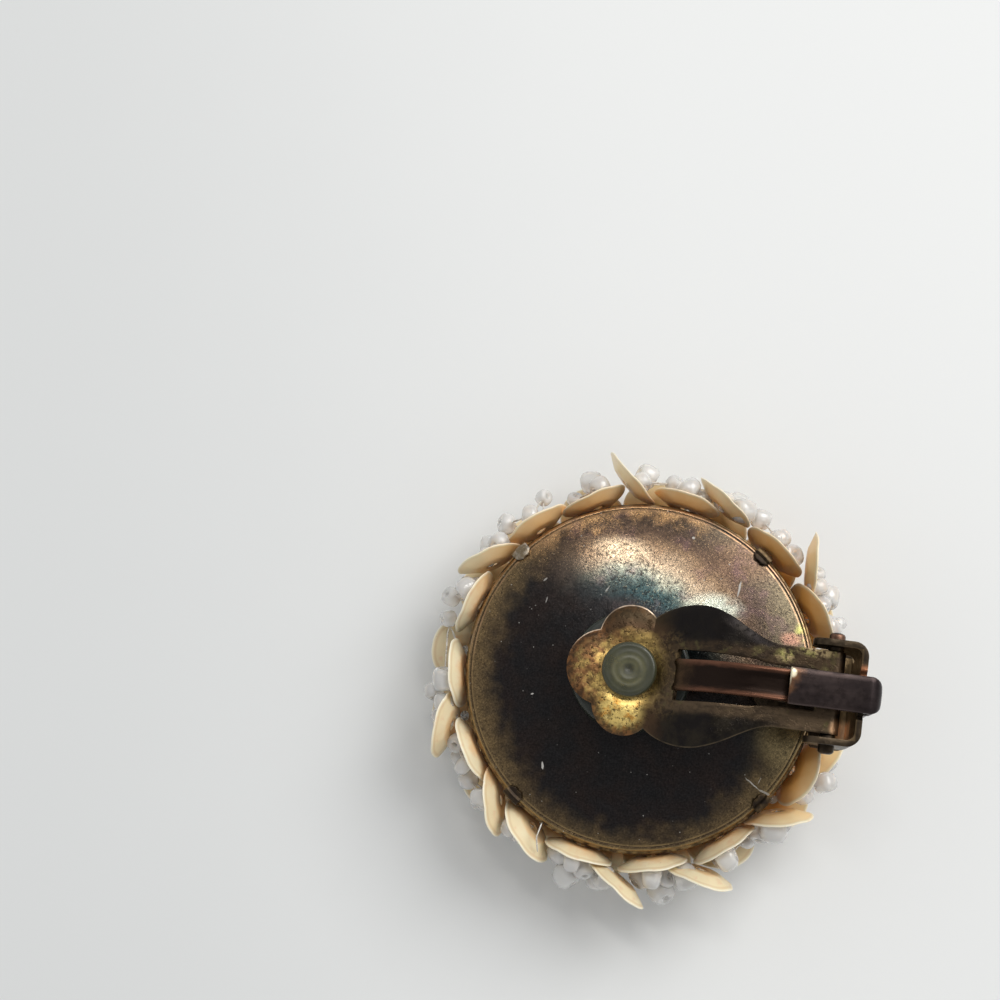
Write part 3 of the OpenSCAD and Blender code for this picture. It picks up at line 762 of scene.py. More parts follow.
def buildLeverSheet():
    # a net of points in plan, lifted to the bent sheet, its slot left open and its heel rolled round the pin
    s = leverSize
    lead = -5.05 + 0.7 * (1 - np.cos(np.linspace(0, np.pi / 2, 12)))
    x = np.concatenate([lead, np.arange(-4.28, 1.6, 0.07), np.arange(1.6, 2.7, 0.15), [s["slot"][0]],
                        np.arange(2.9, 12.1, 0.17), [s["slot"][1]], np.linspace(12.4, s["pin"][0], 5)])
    near, far = s["slotHalf"]
    slotHalf = near + (far - near) * np.clip((x - 2.75) / 9.45, 0, 1)
    wide = leverHalf(x)
    inner = np.minimum(slotHalf, 0.5 * wide)[:, None]
    outer, middle = np.linspace(1, 0, 11)[None], np.linspace(1, -1, 9)[None, 1:-1]
    flank = wide[:, None] - inner
    y = np.concatenate([inner + flank * outer, inner * middle, -inner - flank * outer[:, ::-1]], 1)
    columns = y.shape[1]
    xx, zz = widen(x, columns), widen(leverLine(x), columns)
    inside = edgeDistance(xx, y)
    turned = (1 - fade(inside, 0, 0.75)) * (1 - fade(xx, 7.5, 10.5))
    # each lobe of the trefoil is raised a little, with a shallow ring pressed in round the knob
    raised = sum(np.exp(-((xx - cx * 1.08) ** 2 + (y - cy * 1.12) ** 2) / 1.3) for cx, cy, _ in s["lobes"])
    at, wideness, deep = s["ring"]
    ring = np.exp(-((np.hypot(xx - s["knob"], y) - at) / wideness) ** 2)
    pressed = s["raised"] * np.minimum(raised, 1) - deep * ring
    zz = zz - turned ** 2 * s["turnedEdge"] + pressed * (1 - fade(xx, 0.8, 2.2))
    inside = inside + 9 * fade(xx, 12.6, 13.0)
    curl = arcPoints(*s["pin"], s["curl"], 90, -185, 18)[1:]
    tail = [widen(curl[:, 0], columns), np.repeat(y[-1:], len(curl), 0), widen(curl[:, 1], columns)]
    net = np.vstack([np.stack([xx, y, zz], -1), np.stack(tail, -1)])
    inside = np.vstack([inside, np.full((len(curl), columns), 9.0)])
    faces = gridFaces(len(net), columns)
    row, column = faces[:, 0] // columns, faces[:, 0] % columns
    start, stop = (np.argmin(np.abs(x - end)) for end in s["slot"])
    opening = (row >= start) & (row < stop) & (column >= 10) & (column < columns - 11)
    sheet = makePiece("leverSheet", (net.reshape(-1, 3), faces[~opening], {"inside": inside.ravel()}),
                      finishes["lever"], "lever", ("clip_lever",), closed=False)
    finishSheet(sheet, s["sheet"], s["edge"])


# arc: its middle and radius. turn: the angles where it starts and ends
tongueSize = {"arc": (8.95, -1.59, 7.84), "turn": (147, 56), "half": 0.2, "dip": 0.13,
              "lift": (2.9, 0.35, 0.09), "dive": (2.3, 0.25, 0.27)}


def buildTongue():
    # a shallow channel carried along one long arc from the paddle's neck to the heel
    s = tongueSize
    middleX, middleZ, reach = s["arc"]
    a = np.radians(np.linspace(*s["turn"], 56))
    across = np.linspace(-1, 1, 13)
    dip, bevel = 1 - fade(np.abs(across), 0.45, 0.9), 0.05 * fade(np.abs(across), 0.88, 1.0)
    top, low = s["half"] - s["dip"] * dip - bevel, -s["half"] - 0.06 * dip + bevel
    loopY = np.concatenate([across * 1.06, [1.1, 1.1], across[::-1] * 1.06, [-1.1, -1.1]])
    loopN = np.concatenate([top, [0.1, -0.1], low[::-1], [-0.1, 0.1]])
    start = middleX + reach * np.cos(a)
    lift, dive = (high * np.exp(-((start - at) / wide) ** 2) for at, wide, high in (s["lift"], s["dive"]))
    radius = reach + (lift - dive)[:, None] + loopN[None]
    points = triples(middleX + radius * np.cos(a)[:, None], np.repeat(loopY[None], len(a), 0),
                     middleZ + radius * np.sin(a)[:, None])
    ends, back = np.arange(len(loopY)), np.arange(len(loopY))[::-1]
    caps = [np.stack([base + ends[1:12], base + ends[2:13], base + back[3:14], base + back[4:15]], -1)
            for base in (0, (len(a) - 1) * len(loopY))]
    faces = np.vstack([gridFaces(len(a), len(loopY), closeColumns=True)] + caps)
    makePiece("leverTongue", (points, faces), finishes["tongue"], "lever", ())


# the rod through the heel and its two turned heads, as radius and height up to the middle
pinProfile = [[0, -4.15], [0.3, -4.13], [0.46, -4.06], [0.54, -3.95], [0.55, -3.8], [0.55, -2.9],
              [0.42, -2.7], [0.42, 0]]


def buildPins():
    lower = np.array(pinProfile)
    rod, faces = revolved(np.vstack([lower, lower[-2::-1] * [1, -1]]), 28)
    points = np.stack([rod[:, 0] + leverSize["pin"][0], rod[:, 2], rod[:, 1] + leverSize["pin"][1]], -1)
    makePiece("hingePin", (points, faces, {"edge": np.zeros(len(points))}), finishes["bracket"], "lever", ())


buildLeverSheet()
buildTongue()
buildPins()
print("lever made")


# Ear pad

padSize = {"middle": -0.6, "disc": 4.35, "bottom": 0.15, "top": 1.52, "stem": 1.15, "knob": 1.93,
           "knobLow": 2.13, "knobTop": 3.0}


def buildPad():
    # section turned round the stem: a slightly conical disc, the stem, and a knob with fine rings
    s = padSize
    disc, top, bottom, stem, knob, low = s["disc"], s["top"], s["bottom"], s["stem"], s["knob"], s["knobLow"]
    r = np.linspace(1.55, 0, 22)
    rings = s["knobTop"] - 0.06 + 0.02 * np.exp(-((r - 1.2) / 0.14) ** 2) \
        + 0.035 * np.exp(-((r - 0.75) / 0.16) ** 2) - 0.08 * np.exp(-(r / 0.24) ** 2)
    section = np.vstack([[[0, bottom + 0.08], [2.6, bottom + 0.08], [3.4, bottom], [disc - 0.3, bottom]],
                         arcPoints(disc - 0.3, bottom + 0.3, 0.3, -70, 0, 6),
                         arcPoints(disc - 0.42, top - 0.32, 0.32, 5, 85, 6),
                         [[3.4, top], [2.4, top], [stem + 0.1, top], [stem, top + 0.1],
                          [stem, low - 0.08], [stem + 0.1, low], [knob - 0.16, low]],
                         arcPoints(knob - 0.16, low + 0.16, 0.16, -60, 0, 4),
                         arcPoints(knob - 0.3, s["knobTop"] - 0.34, 0.3, 5, 80, 6), pairs(r, rings)])
    points, faces = revolved(section, 96)
    makePiece("earPad", (points + [s["middle"], 0, 0], faces), finishes["pad"], "lever", ("ear_pad",))


buildPad()
print("pad made")


# Hinge bracket and spring strip

# tab: half width of the foot's round end. drop: how far the wall reaches below the ears
bracketSize = {"sheet": 0.45, "wall": 15.175, "side": 3.325, "corner": 0.775, "flat": 2.45, "earIn": 11.7,
               "earOut": 14.3, "earLow": 3.0, "earTop": 6.1, "round": 1.2, "drop": 2.1, "notch": 0.2,
               "earEdge": 0.1, "foot": 8.1, "footZ": -0.265, "tilt": 9.0, "tab": 1.6, "halfWidth": 3.5,
               "footSheet": 0.43, "footEdge": 0.09, "footBend": 0.42, "footTop": 1.02,
               "dimple": (10.25, 0.2)}


def buildEars():
    # ears and upper wall: one strip bent in a U seen from above, its height drawn in as a round at both ends
    s = bracketSize
    arm = pairs(np.linspace(s["earIn"], s["earOut"], 32), np.full(32, s["side"]))
    corner = arcPoints(s["wall"] - s["corner"], s["side"] - s["corner"], s["corner"], 90, 0, 10)
    back = pairs(np.full(37, s["wall"]), np.linspace(s["flat"], -s["flat"], 37))
    path = np.vstack([arm, corner, back, corner[::-1] * [1, -1], arm[::-1] * [1, -1]])
    x, y = path[:, :1], path[:, 1:]
    toEnd = np.clip((x - s["earIn"]) / s["round"], 0.001, 1)
    draw = s["round"] * (1 - np.sqrt(1 - (1 - toEnd) ** 2))
    onWall = x > s["wall"] - 0.01
    low = s["earLow"] + draw - s["drop"] * fade(x, 13.2, 14.4)
    high = s["earTop"] - draw - s["notch"] * (1 - fade(np.abs(y), 1.45, 1.65)) * onWall
    z = low + (high - low) * np.linspace(0, 1, 18)[None]
    toEdge = np.minimum(np.where(onWall, 9.0, z - low), high - z)
    edge = np.exp(-(np.minimum(toEdge, toEnd * 1.2) / 0.12) ** 2)
    points = triples(widen(path[:, 0], 18), widen(path[:, 1], 18), z)
    shape = (points, gridFaces(*z.shape), {"edge": edge.ravel()})
    ears = makePiece("bracketEars", shape, finishes["bracket"], "earring", (), closed=False)
    finishSheet(ears, s["sheet"], s["earEdge"])


def buildFoot():
    # foot, bend and lower wall: a second strip bent seen from the side, a round tab widening to the wall
    s = bracketSize
    tab, bow = s["tab"], s["footBend"]
    run = np.concatenate([s["foot"] + tab * (1 - np.cos(np.linspace(0.02, np.pi / 2, 12))),
                          np.arange(9.8, 14.7, 0.16)])
    footZ = s["footZ"] - (run - s["foot"]) * math.tan(math.radians(s["tilt"]))
    bend = arcPoints(s["wall"] - bow, footZ[-1] + 0.45, bow, -80, 0, 7)
    rise = pairs(np.full(14, s["wall"]), np.linspace(bend[-1, 1] + 0.15, s["footTop"], 14))
    line = np.vstack([pairs(run, footZ), bend, rise])
    x = line[:, :1]
    half = np.where(x < s["foot"] + tab, roundHalf(x, s["foot"] + tab, tab), tab)
    half = half + (s["halfWidth"] - tab) * fade(x, 12.2, 12.6)
    turned = np.clip((x - s["wall"] + s["corner"]) / s["corner"], 0, 1)
    half = half - s["corner"] * (1 - np.sqrt(1 - turned ** 2)) * 0.95
    y = half * np.linspace(-1, 1, 33)[None]
    at, deep = s["dimple"]
    onFoot = np.arange(len(line))[:, None] < len(run)
    z = line[:, 1:] + deep * (1 - fade(np.hypot(x - at, y), 0.36, 0.62)) * onFoot
    edge = np.exp(-((half - np.abs(y)) / 0.1) ** 2)
    points = triples(widen(line[:, 0], 33), y, z)
    shape = (points, gridFaces(*z.shape), {"edge": edge.ravel()})
    foot = makePiece("bracketFoot", shape, finishes["bracket"], "earring", ("hinge_bracket",),
                     closed=False)
    finishSheet(foot, s["footSheet"], s["footEdge"])


# the rivet's shank and domed head, as radius and distance along X
rivetProfile = [[0, 15.0], [0.42, 15.0], [0.42, 15.92], [0.62, 15.92], [0.65, 15.97], [0.6, 16.05],
                [0.42, 16.13], [0.2, 16.15], [0, 16.15]]
rivetHeight = 3.0


def buildRivet():
    turned, faces = revolved(np.array(rivetProfile), 28)
    points = np.stack([turned[:, 2], turned[:, 0], turned[:, 1] + rivetHeight], -1)
    shape = (points, faces, {"edge": np.full(len(points), 0.6)})
    makePiece("rivet", shape, finishes["bracket"], "earring", ())


# round: where it starts to narrow in plan as it bows out, and by how much
stripSize = {"width": 2.5, "sheet": 0.4, "tip": 10.3, "top": 6.75, "out": 16.5, "bow": 0.75, "turn": 125,
             "back": 0.8, "tail": 15.65, "bottom": 1.6, "round": (15.72, 0.6), "hollow": 0.04}


def stripLine():
    # the strip's middle: flat from the tip, an arc that bows out over the wall, a slant back in, the tail
    s = stripSize
    bowX, bowZ = s["out"] - s["sheet"] / 2 - s["bow"], s["top"] - s["bow"]
    turn = math.radians(s["turn"])
    slant = bowX + s["bow"] * math.sin(turn) - s["tail"] - s["back"] * (1 - math.sin(turn))
    backZ = bowZ + s["bow"] * math.cos(turn) + slant * math.tan(turn) + s["back"] * math.cos(turn)
    a = np.radians(np.linspace(0, s["turn"], 17))
    b = np.radians(np.linspace(s["turn"], 90, 6))
    return np.vstack([pairs(np.linspace(s["tip"], bowX - 0.1, 42), np.full(42, s["top"])),
                      pairs(bowX + s["bow"] * np.sin(a), bowZ + s["bow"] * np.cos(a)),
                      pairs(s["tail"] + s["back"] * (1 - np.sin(b)), backZ - s["back"] * np.cos(b)),
                      pairs(np.full(12, s["tail"]), np.linspace(backZ - 0.15, s["bottom"], 12))])


def buildStrip():
    # the section carried along the line, each of its points set out along the line's normal
    s = stripSize
    line = stripLine()
    step = np.gradient(line, axis=0)
    step /= np.linalg.norm(step, axis=1)[:, None]
    normal = np.stack([-step[:, 1], step[:, 0]], -1)
    # rounded in plan where it bows out: the half width falls as a quarter circle's height does
    start, fall = s["round"]
    beyond = np.clip((line[:, :1] - start) / (s["out"] - s["sheet"] / 2 - start), 0, 0.97)
    half = s["width"] / 2 - fall * (1 - np.sqrt(1 - beyond ** 2))
    # the section round: a face of nine points, a rounded side of four, and the same again
    t = s["sheet"] / 2
    face, side = np.linspace(-0.904, 0.904, 9), np.array([0.968, 1, 1, 0.968])
    sideUp = np.array([t - 0.03, t - 0.11, -t + 0.11, -t + 0.03])
    v = np.concatenate([face, side, -face, -side])[None]
    lift = np.concatenate([np.full(9, t), sideUp, np.full(9, -t), -sideUp])[None] - s["hollow"] * v ** 2
    points = triples(line[:, :1] + normal[:, :1] * lift, half * v, line[:, 1:] + normal[:, 1:] * lift)
    edge = np.repeat(np.exp(-((1 - np.abs(v)) / 0.09) ** 2), len(line), 0)
    m = v.size
    quads = [[i, i + 1, (m - i - 6) % m, (m - i - 5) % m] for i in range(8)]
    quads += [[8, 9, 12, 13], [9, 10, 11, 12], [21, 22, 25, 0], [22, 23, 24, 25]]
    caps = [np.array(quads) + base for base in (0, (len(line) - 1) * m)]
    faces = np.vstack([gridFaces(len(line), m, closeColumns=True)] + caps)
    piece = makePiece("springStrip", (points, faces, {"edge": edge.ravel()}), finishes["spring"], None)
    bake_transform(piece)
    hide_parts("spring_strip")


buildEars()
buildFoot()
buildRivet()
buildStrip()
print("bracket and spring made")


# Petals

petalSize = {"radius": 2.5, "depth": 0.6, "thickness": 0.10, "hole": 0.42, "floor": 1.25, "wave": 0.08,
             "uneven": 0.012, "turns": 56}
# the rim petals: angle, distance, turn, lean, and the way their beads lie
rimPetals = [(27, 12.9, 10, 15, 20), (41, 14.7, -40, 0, 70), (50, 13, 5, 10, 40),
             (72, 13.95, -20, 0, 0), (82, 12.9, -5, 5, 60), (101, 14.4, -55, 0, 30),
             (111, 12.95, 10, 5, 100), (131, 13.1, 0, 5, 50), (150, 13.7, -30, 5, 10),
             (163, 12.9, -5, 5, 90), (186, 12.8, 5, 10, 30), (202, 14.2, -30, 10, 80),
             (211, 12.8, 0, 10, 20), (229, 13.5, -35, 10, 60), (242, 13.3, -25, 20, 100),
             (258, 12.8, 0, 10, 40), (272, 14.5, -35, 5, 0), (281, 12.85, 5, 10, 70),
             (295, 14.4, -35, 10, 20), (304, 12.8, 5, 10, 90), (323, 13.7, -40, 10, 50),
             (336, 12.8, 5, 25, 10)]
rimHeight = -3.05
# bulges: angle and how far the row stands out there
sideRow = {"count": 17, "distance": 12.7, "turn": -20, "lean": 52, "height": -6.7, "first": 8,
           "bulges": ((188, 0.9), (349, 0.6)), "bulgeWidth": 30}
# count, distance, turn, lean, height, first angle
frontRows = [(11, 8.8, -10, 57, -6.35, 0), (5, 4.5, -8, 70, -6.5, 18), (1, 0, 0, 90, -6.5, 0)]
seeds = np.random.default_rng(11)


def apart(a, b):
    # the smaller angle between two directions
    gap = abs(a - b) % 360
    return min(gap, 360 - gap)


def petalPlaces():
    # every petal as (row name, angle, distance, turn, lean, height), as the CAD has them
    places = [("rim", *row[:4], rimHeight) for row in rimPetals]
    s = sideRow
    for k in range(s["count"]):
        a = s["first"] + 360 * k / s["count"]
        out = sum(rise * math.exp(-(apart(a, at) / s["bulgeWidth"]) ** 2) for at, rise in s["bulges"])
        places.append(("side", a, s["distance"] + out, s["turn"], s["lean"], s["height"]))
    for count, distance, turn, lean, height, first in frontRows:
        places += [("front", first + 360 * k / count, distance, turn, lean, height) for k in range(count)]
    return places


def petalFrame(angle, distance, turn, lean, height):
    # the petal's own frame: its hole is the origin and it opens along its Z
    spin = Matrix.Rotation(math.radians(angle), 4, "Z") @ Matrix.Translation((distance, 0, height))
    spin = spin @ Matrix.Rotation(math.radians(turn), 4, "Z")
    return np.array(spin @ Matrix.Rotation(math.radians(90 + lean), 4, "Y"))


def toFrame(points, spin):
    return points @ spin[:3, :3].T + spin[:3, 3]


def petalShape(phases, tone):
    # a cup with a flat eight-sided floor and a flared side in eight soft facets, its rim a little waved:
    # height = depth times how far the point lies past the floor's edge, blended with a sphere's cap
    s = petalSize
    t, floor = s["thickness"] / 2, s["floor"]
    lip = np.radians([60, 0, -60])
    r = np.concatenate([np.linspace(s["hole"], 1.2, 4), np.linspace(1.35, s["radius"], 9)])
    lipOut, lipUp = t * np.cos(lip), t * np.sin(lip)
    radial = np.concatenate([r, s["radius"] + lipOut, r[::-1], s["hole"] - lipOut])[:, None]
    offset = np.concatenate([np.full(13, t), lipUp, np.full(13, -t), -lipUp])[:, None]
    turn = (np.arange(s["turns"]) * 2 * np.pi / s["turns"])[None]
    side = np.mod(turn + phases[2] + np.pi / 8, np.pi / 4) - np.pi / 8
    out = radial / s["radius"]
    flare = np.maximum(radial * (0.4 + 0.6 * np.cos(side)) - floor, 0) / (s["radius"] - floor)
    cup = s["depth"] * (0.85 * (np.sqrt(flare ** 2 + 0.0015) - 0.0387) + 0.15 * out ** 2)
    wave = np.cos(2 * turn + phases[0]) * phases[3] + 0.4 * np.cos(5 * turn + phases[1])
    reach = radial - offset * np.where(radial > floor, 0.38, 0.08)
    reach = reach * (1 + s["uneven"] * out * np.cos(3 * turn + phases[1]))
    height = cup + s["wave"] * out ** 3 * wave + offset
    points = triples(reach * np.cos(turn), reach * np.sin(turn), height)
    values = {"rim": widen(np.clip(out[:, 0], 0, 1), s["turns"]).ravel(), "tone": np.full(len(points), tone),
              "flare": fade(flare, 0.0, 0.14).ravel()}
    return points, gridFaces(*flare.shape, closeRows=True, closeColumns=True), values


def buildPetals():
    rows = {"side": [], "front": []}
    for n, place in enumerate(petalPlaces()):
        phases = np.append(seeds.uniform(0, 2 * np.pi, 3), seeds.uniform(0.3, 1.0))
        points, faces, values = petalShape(phases, seeds.uniform(0.35, 1.0))
        points = toFrame(points, petalFrame(*place[1:]))
        if place[0] == "rim":
            makePiece("rimPetal%02d" % (n + 1), (points, faces, values), finishes["petal"], "earring",
                      ("rim_petal_%02d" % (n + 1),))
        else:
            rows[place[0]].append((points, faces, values))
    for row, parts in rows.items():
        makePiece(row + "Petals", joined(parts), finishes["petal"], "earring", ("petals_" + row,))


buildPetals()
print("petals made")


# Beads and thread

# floor and ceiling: the lowest and highest that a bead may lie. clear: how near the plate's middle it may
# come when it is higher than belowPlate
beadSize = {"hole": 0.20, "reach": 1.12, "lift": 1.2, "floor": -8.78, "ceiling": -1.75, "clear": 13.75,
            "belowPlate": -2.6, "furthest": {"pinned": 17.0, "rim": 14.3, "other": 15.1}, "rounds": 90,
            "steps": 14}
# beads that show past the petals in the photograph: angle, distance from the middle, height, size
outerBeads = [(23, 15.1, -5.0, 0.70), (31, 15.1, -4.2, 0.92), (39, 15.1, -4.8, 0.65),
              (60, 14.9, -4.0, 0.78), (68, 15.1, -4.2, 0.76), (82, 14.2, -4.4, 0.64),
              (87, 14.9, -4.6, 0.66), (95, 15.2, -4.2, 0.92), (111, 15.1, -4.0, 0.88),
              (117, 14.3, -4.4, 0.64), (125, 15.5, -4.8, 0.64), (138, 15.3, -4.2, 0.83),
              (146, 15.1, -4.4, 0.78), (158, 14.2, -4.2, 0.66), (164, 15.3, -4.2, 0.74),
              (170, 15.0, -4.6, 0.66), (191, 15.3, -4.2, 0.76), (198, 15.1, -4.8, 0.64),
              (211, 14.5, -4.4, 0.70), (218, 14.6, -4.0, 0.73), (225, 14.8, -4.2, 0.77),
              (233, 14.1, -4.2, 0.66), (239, 14.5, -4.8, 0.64), (257, 15.1, -4.1, 1.12),
              (265, 14.8, -4.6, 0.85), (283, 15.2, -4.4, 0.97), (311, 13.8, -4.6, 0.76),
              (338, 15.3, -4.2, 0.86)]
threadSize = {"radius": 0.07, "endRadius": 0.06, "sides": 5, "hole": ((0.1, 0, -0.12), (-0.1, 0, -0.12)),
              "looseEnd": ((-5.5, -11.3, -1.1), (-5.75, -12.4, -0.85), (-5.6, -13.5, -1.9))}


def nestledBeads(places):
    # three beads lie in each cup round its hole: their middles, the ways they lie and the petal of each
    s = beadSize
    middles, axes, owner = [], [], []
    for n, place in enumerate(places):
        spin = petalFrame(*place[1:])
        onRim = place[0] == "rim"
        first = math.radians(rimPetals[n][4] if onRim else seeds.uniform(0, 120))
        for k in range(3):
            a = first + k * 2 * math.pi / 3 + seeds.uniform(-0.12, 0.12)
            lift = s["lift"] + (seeds.uniform(0, 0.35) if onRim else 0)
            inCup = np.array([[s["reach"] * math.cos(a), s["reach"] * math.sin(a), lift]])
            middles.append(toFrame(inCup, spin)[0])
            axes.append(spin[:3, :3] @ np.array([-math.sin(a), math.cos(a), seeds.uniform(-0.6, 0.6)]))
            owner.append(n)
    axes = np.array(axes) * [1, 1, 0.4]
    return np.array(middles), axes / np.linalg.norm(axes, axis=1)[:, None], np.array(owner)


def beadPlaces():
    # the nestled beads, those of the photograph moved to their places, all eased apart and off the petals
    s = beadSize
    places = petalPlaces()
    middles, axes, owner = nestledBeads(places)
    onRim = owner < len(rimPetals)
    sizes = seeds.uniform(0.74, 0.98, len(middles))
    pinned = np.zeros(len(middles), bool)
    for angle, distance, height, size in outerBeads:
        a = math.radians(angle)
        goal = np.array([distance * math.cos(a), distance * math.sin(a), height])
        pick = np.argmin(np.linalg.norm(middles - goal, axis=1) + pinned * 50 + ~onRim * 1.5)
        middles[pick], pinned[pick], sizes[pick] = goal, True, size
    anchors = middles.copy()
    reach = s["furthest"]
    furthest = np.where(pinned, reach["pinned"], np.where(onRim, reach["rim"], reach["other"]))
    # the petals as points of their middle surface
    r, a = np.meshgrid(np.linspace(0.5, 2.5, 7), np.arange(20) * 2 * np.pi / 20)
    cup = triples(r * np.cos(a), r * np.sin(a), r ** 2 / 11.0)
    sheets = np.vstack([toFrame(cup, petalFrame(*place[1:])) for place in places])
    for step in range(s["rounds"]):
        # apart from one another
        gap = middles[:, None] - middles[None]
        far = np.linalg.norm(gap, axis=2) + np.eye(len(middles)) * 9
        short = np.clip((sizes[:, None] + sizes[None]) * 0.95 - far, 0, None)
        push = short[..., None] * gap / far[..., None] * 0.4
        middles = middles + push.sum(1) * np.where(pinned, 0.4, 1.0)[:, None]
        # off the petals, by the worst of the overlaps
        gap = middles[:, None] - sheets[None]
        far = np.linalg.norm(gap, axis=2)
        short = np.clip(sizes[:, None] * 0.96 + 0.08 - far, 0, None)
        push = (short[..., None] * gap / far[..., None]).sum(1)
        size = np.linalg.norm(push, axis=1)[:, None] + 1e-9
        middles = middles + push / size * short.max(1)[:, None] * 0.6
        # clear of the plate, not too far out, and back toward where they were placed
        away = np.hypot(middles[:, 0], middles[:, 1])
        inside = np.clip(s["clear"] - away, 0, None) * (middles[:, 2] > s["belowPlate"])
        middles[:, :2] += middles[:, :2] / away[:, None] * inside[:, None] * 0.5
        middles[:, :2] *= np.minimum(1, furthest / np.maximum(away, 0.01))[:, None] ** 0.5
        middles = middles + (anchors - middles) * np.where(pinned, 0.12, 0.03)[:, None]
        middles[:, 2] = np.clip(middles[:, 2], s["floor"] + sizes, s["ceiling"])
    return middles, axes, owner, sizes


def beadShape(length, squared):
    # a short barrel of radius 1 with soft ends and a hole through it, a little squared
    hole, h = beadSize["hole"], length / 2
    outer = np.array([[hole + 0.1, h - 0.03], [0.62, h], [0.86, h - 0.16], [0.98, h - 0.45], [1.0, 0]])
    section = np.vstack([[[hole, -h + 0.2], [hole, h - 0.2]], outer, outer[-2::-1] * [1, -1]])
    points, faces = revolved(section, beadSize["steps"], closed=True)
    amount, first, second = squared
    a = np.arctan2(points[:, 1], points[:, 0])
    points[:, :2] *= (1 + amount * np.cos(4 * a + first) + 0.03 * np.cos(a + second))[:, None]
    points[:, 2] *= 1 + 0.08 * np.cos(a + first)
    return points, faces


def alongKnots(knots, steps):
    # evenly spread points of the line from knot to knot
    t = np.linspace(0, len(knots) - 1, steps)
    return np.stack([np.interp(t, np.arange(len(knots)), knots[:, k]) for k in range(3)], -1)


def buildThreads(middles, owner):
    # a loop of thread up through each petal's hole, through its three beads and back, and one loose end
    s = threadSize
    threads = []
    for n, place in enumerate(petalPlaces()):
        hole = toFrame(np.array(s["hole"]), petalFrame(*place[1:]))
        path = alongKnots(np.vstack([hole[:1], middles[owner == n], hole[1:]]), 17)
        path[1:-1] = (path[:-2] + 2 * path[1:-1] + path[2:]) / 4
        threads.append(tube(path, s["radius"], s["sides"]))
    threads.append(tube(alongKnots(np.array(s["looseEnd"]), 12), s["endRadius"], s["sides"]))
    makePiece("threads", joined(threads), finishes["thread"], "earring", ())


def buildBeads():
    middles, axes, owner, sizes = beadPlaces()
    rowOf = [place[0] for place in petalPlaces()]
    parts = {"rim": [], "side": [], "front": []}
    for n, (middle, axis) in enumerate(zip(middles, axes)):
        length, amount, phases = seeds.uniform(1.35, 1.8), seeds.uniform(0, 0.05), seeds.uniform(0, 6.28, 2)
        points, faces = beadShape(length, (amount, *phases))
        turn = np.array(Vector(axis).to_track_quat("Z", "X").to_matrix())
        values = {"tone": np.full(len(points), seeds.uniform(0, 1))}
        parts[rowOf[owner[n]]].append((points * sizes[n] @ turn.T + middle, faces, values))
    for row, beads in parts.items():
        makePiece(row + "Beads", joined(beads), finishes["bead"], "earring", ())
    buildThreads(middles, owner)


buildBeads()
print("beads and thread made")


# Camera, floor and light

cameraLook = {"place": (3.8, -10.7, 127.3), "lens": 63.9, "sensor": 36, "clip": (0.002, 20),
              "right": (0.9857, 0.1387, -0.0955), "up": (-0.1196, 0.9758, 0.1830)}


def buildCamera():
    look = cameraLook
    right = Vector(look["right"]).normalized()
    up = Vector(look["up"])
    up = (up - right * up.dot(right)).normalized()
    turn = Matrix((right, up, right.cross(up))).transposed().to_4x4()
    camera = bpy.data.objects.new("camera", bpy.data.cameras.new("camera"))
    camera.data.lens, camera.data.sensor_width = look["lens"], look["sensor"]
    camera.data.clip_start, camera.data.clip_end = look["clip"]
    camera.matrix_world = Matrix.Translation(Vector(look["place"]) * mm) @ turn
    bpy.context.scene.collection.objects.link(camera)
    bpy.context.scene.camera = camera


floorLook = {"half": 1500.0, "gap": 0.01, "paintedFalloff": ((0.735, 0.75, 0.752), (0.825, 0.838, 0.838))}


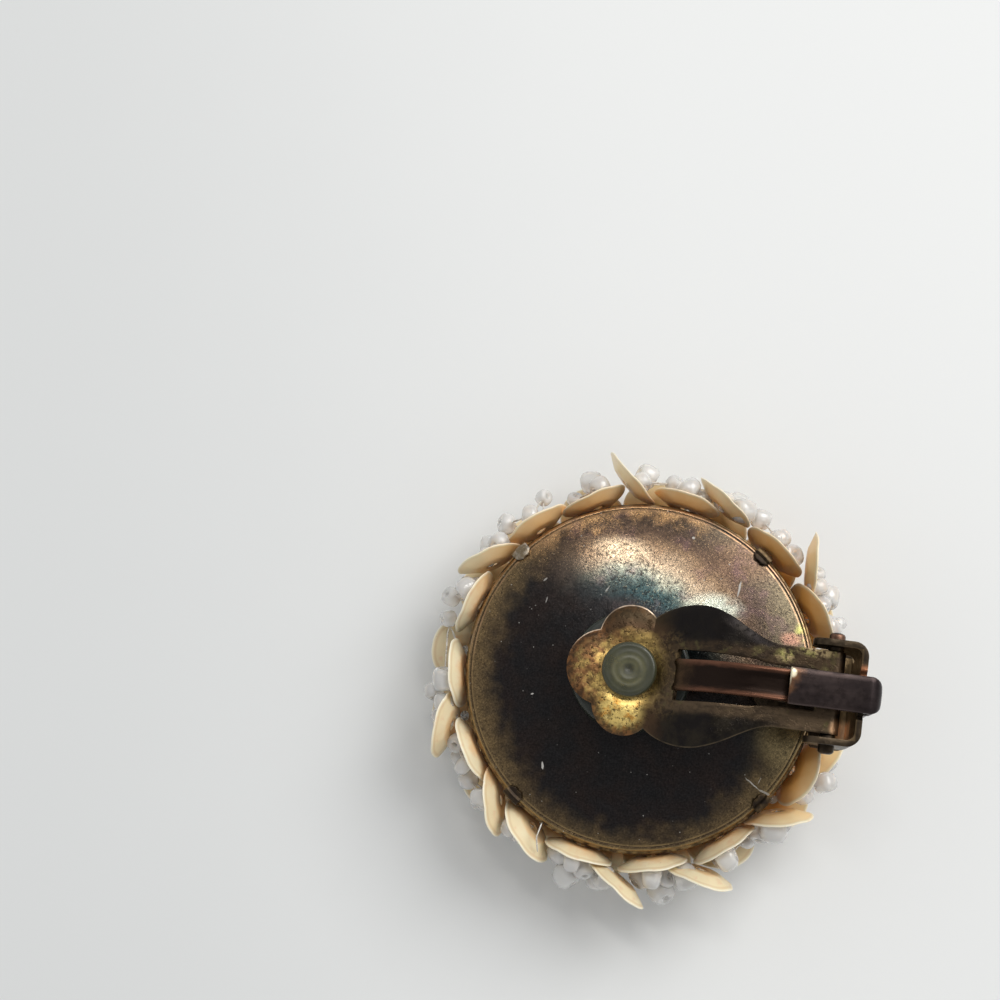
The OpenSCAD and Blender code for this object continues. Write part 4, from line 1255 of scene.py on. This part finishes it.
def buildFloor():
    f = Finish("paleFloor", Roughness=0.55, Specular_IOR_Level=0.3)
    # the floor painted darker toward the left and bottom: painted shade for light falling off away from the
    # lamps
    f.feed("Base Color", f.mix(f.span(f.x + f.y * 0.25 + f.noise(9.0, 2) * 6, -46, 14), *floorLook["paintedFalloff"]))
    size, low = floorLook["half"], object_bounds()[0][2] / mm - floorLook["gap"]
    points = np.array([[-size, -size, low], [size, -size, low], [size, size, low], [-size, size, low]])
    floor = makePiece("floor", (points, np.array([[0, 1, 2, 3]])), f.material, None, closed=False)


# direction from the earring, distance, size and power of each soft light
lights = {"window": {"from": (-0.05, 0.385, 0.92), "far": 520, "size": (190, 38), "power": 0.26, "roll": -29,
                     "colour": (1.0, 0.97, 0.92)},
          "key": {"from": (0.50, 0.53, 0.68), "far": 560, "size": (350, 350), "power": 1.95, "roll": 0,
                  "colour": (1.0, 0.99, 0.97)}}
# the sky's brightness by height, from level to straight up
skyLook = {"levels": ((0.0, 0.80), (0.52, 1.02), (0.74, 0.90), (0.90, 0.60), (0.97, 0.44)), "strength": 0.64}


def buildLights():
    for name, look in lights.items():
        lamp = bpy.data.lights.new(name, "AREA")
        lamp.shape, lamp.size, lamp.size_y = "RECTANGLE", look["size"][0] * mm, look["size"][1] * mm
        lamp.energy, lamp.color = look["power"], look["colour"]
        direction = Vector(look["from"]).normalized()
        roll = Matrix.Rotation(math.radians(look["roll"]), 3, "Z")
        holder = bpy.data.objects.new(name, lamp)
        holder.location = direction * look["far"] * mm
        holder.rotation_euler = (direction.to_track_quat("Z", "Y").to_matrix() @ roll).to_euler()
        bpy.context.scene.collection.objects.link(holder)


def buildSky():
    world = bpy.data.worlds.new("studio")
    world.use_nodes = True
    tree = world.node_tree
    sky = tree.nodes["Background"]
    place = tree.nodes.new("ShaderNodeTexCoord")
    split = tree.nodes.new("ShaderNodeSeparateXYZ")
    ramp = tree.nodes.new("ShaderNodeValToRGB")
    tree.links.new(place.outputs["Generated"], split.inputs[0])
    tree.links.new(split.outputs[2], ramp.inputs[0])
    tree.links.new(ramp.outputs[0], sky.inputs["Color"])
    levels = [(at, (level, level * 1.005, level * 1.01)) for at, level in skyLook["levels"]]
    setStops(ramp.color_ramp, levels)
    sky.inputs["Strength"].default_value = skyLook["strength"]
    bpy.context.scene.world = world
    bpy.context.scene.view_settings.view_transform = "Standard"


buildCamera()
buildFloor()
buildLights()
buildSky()
print("camera, floor and light made")
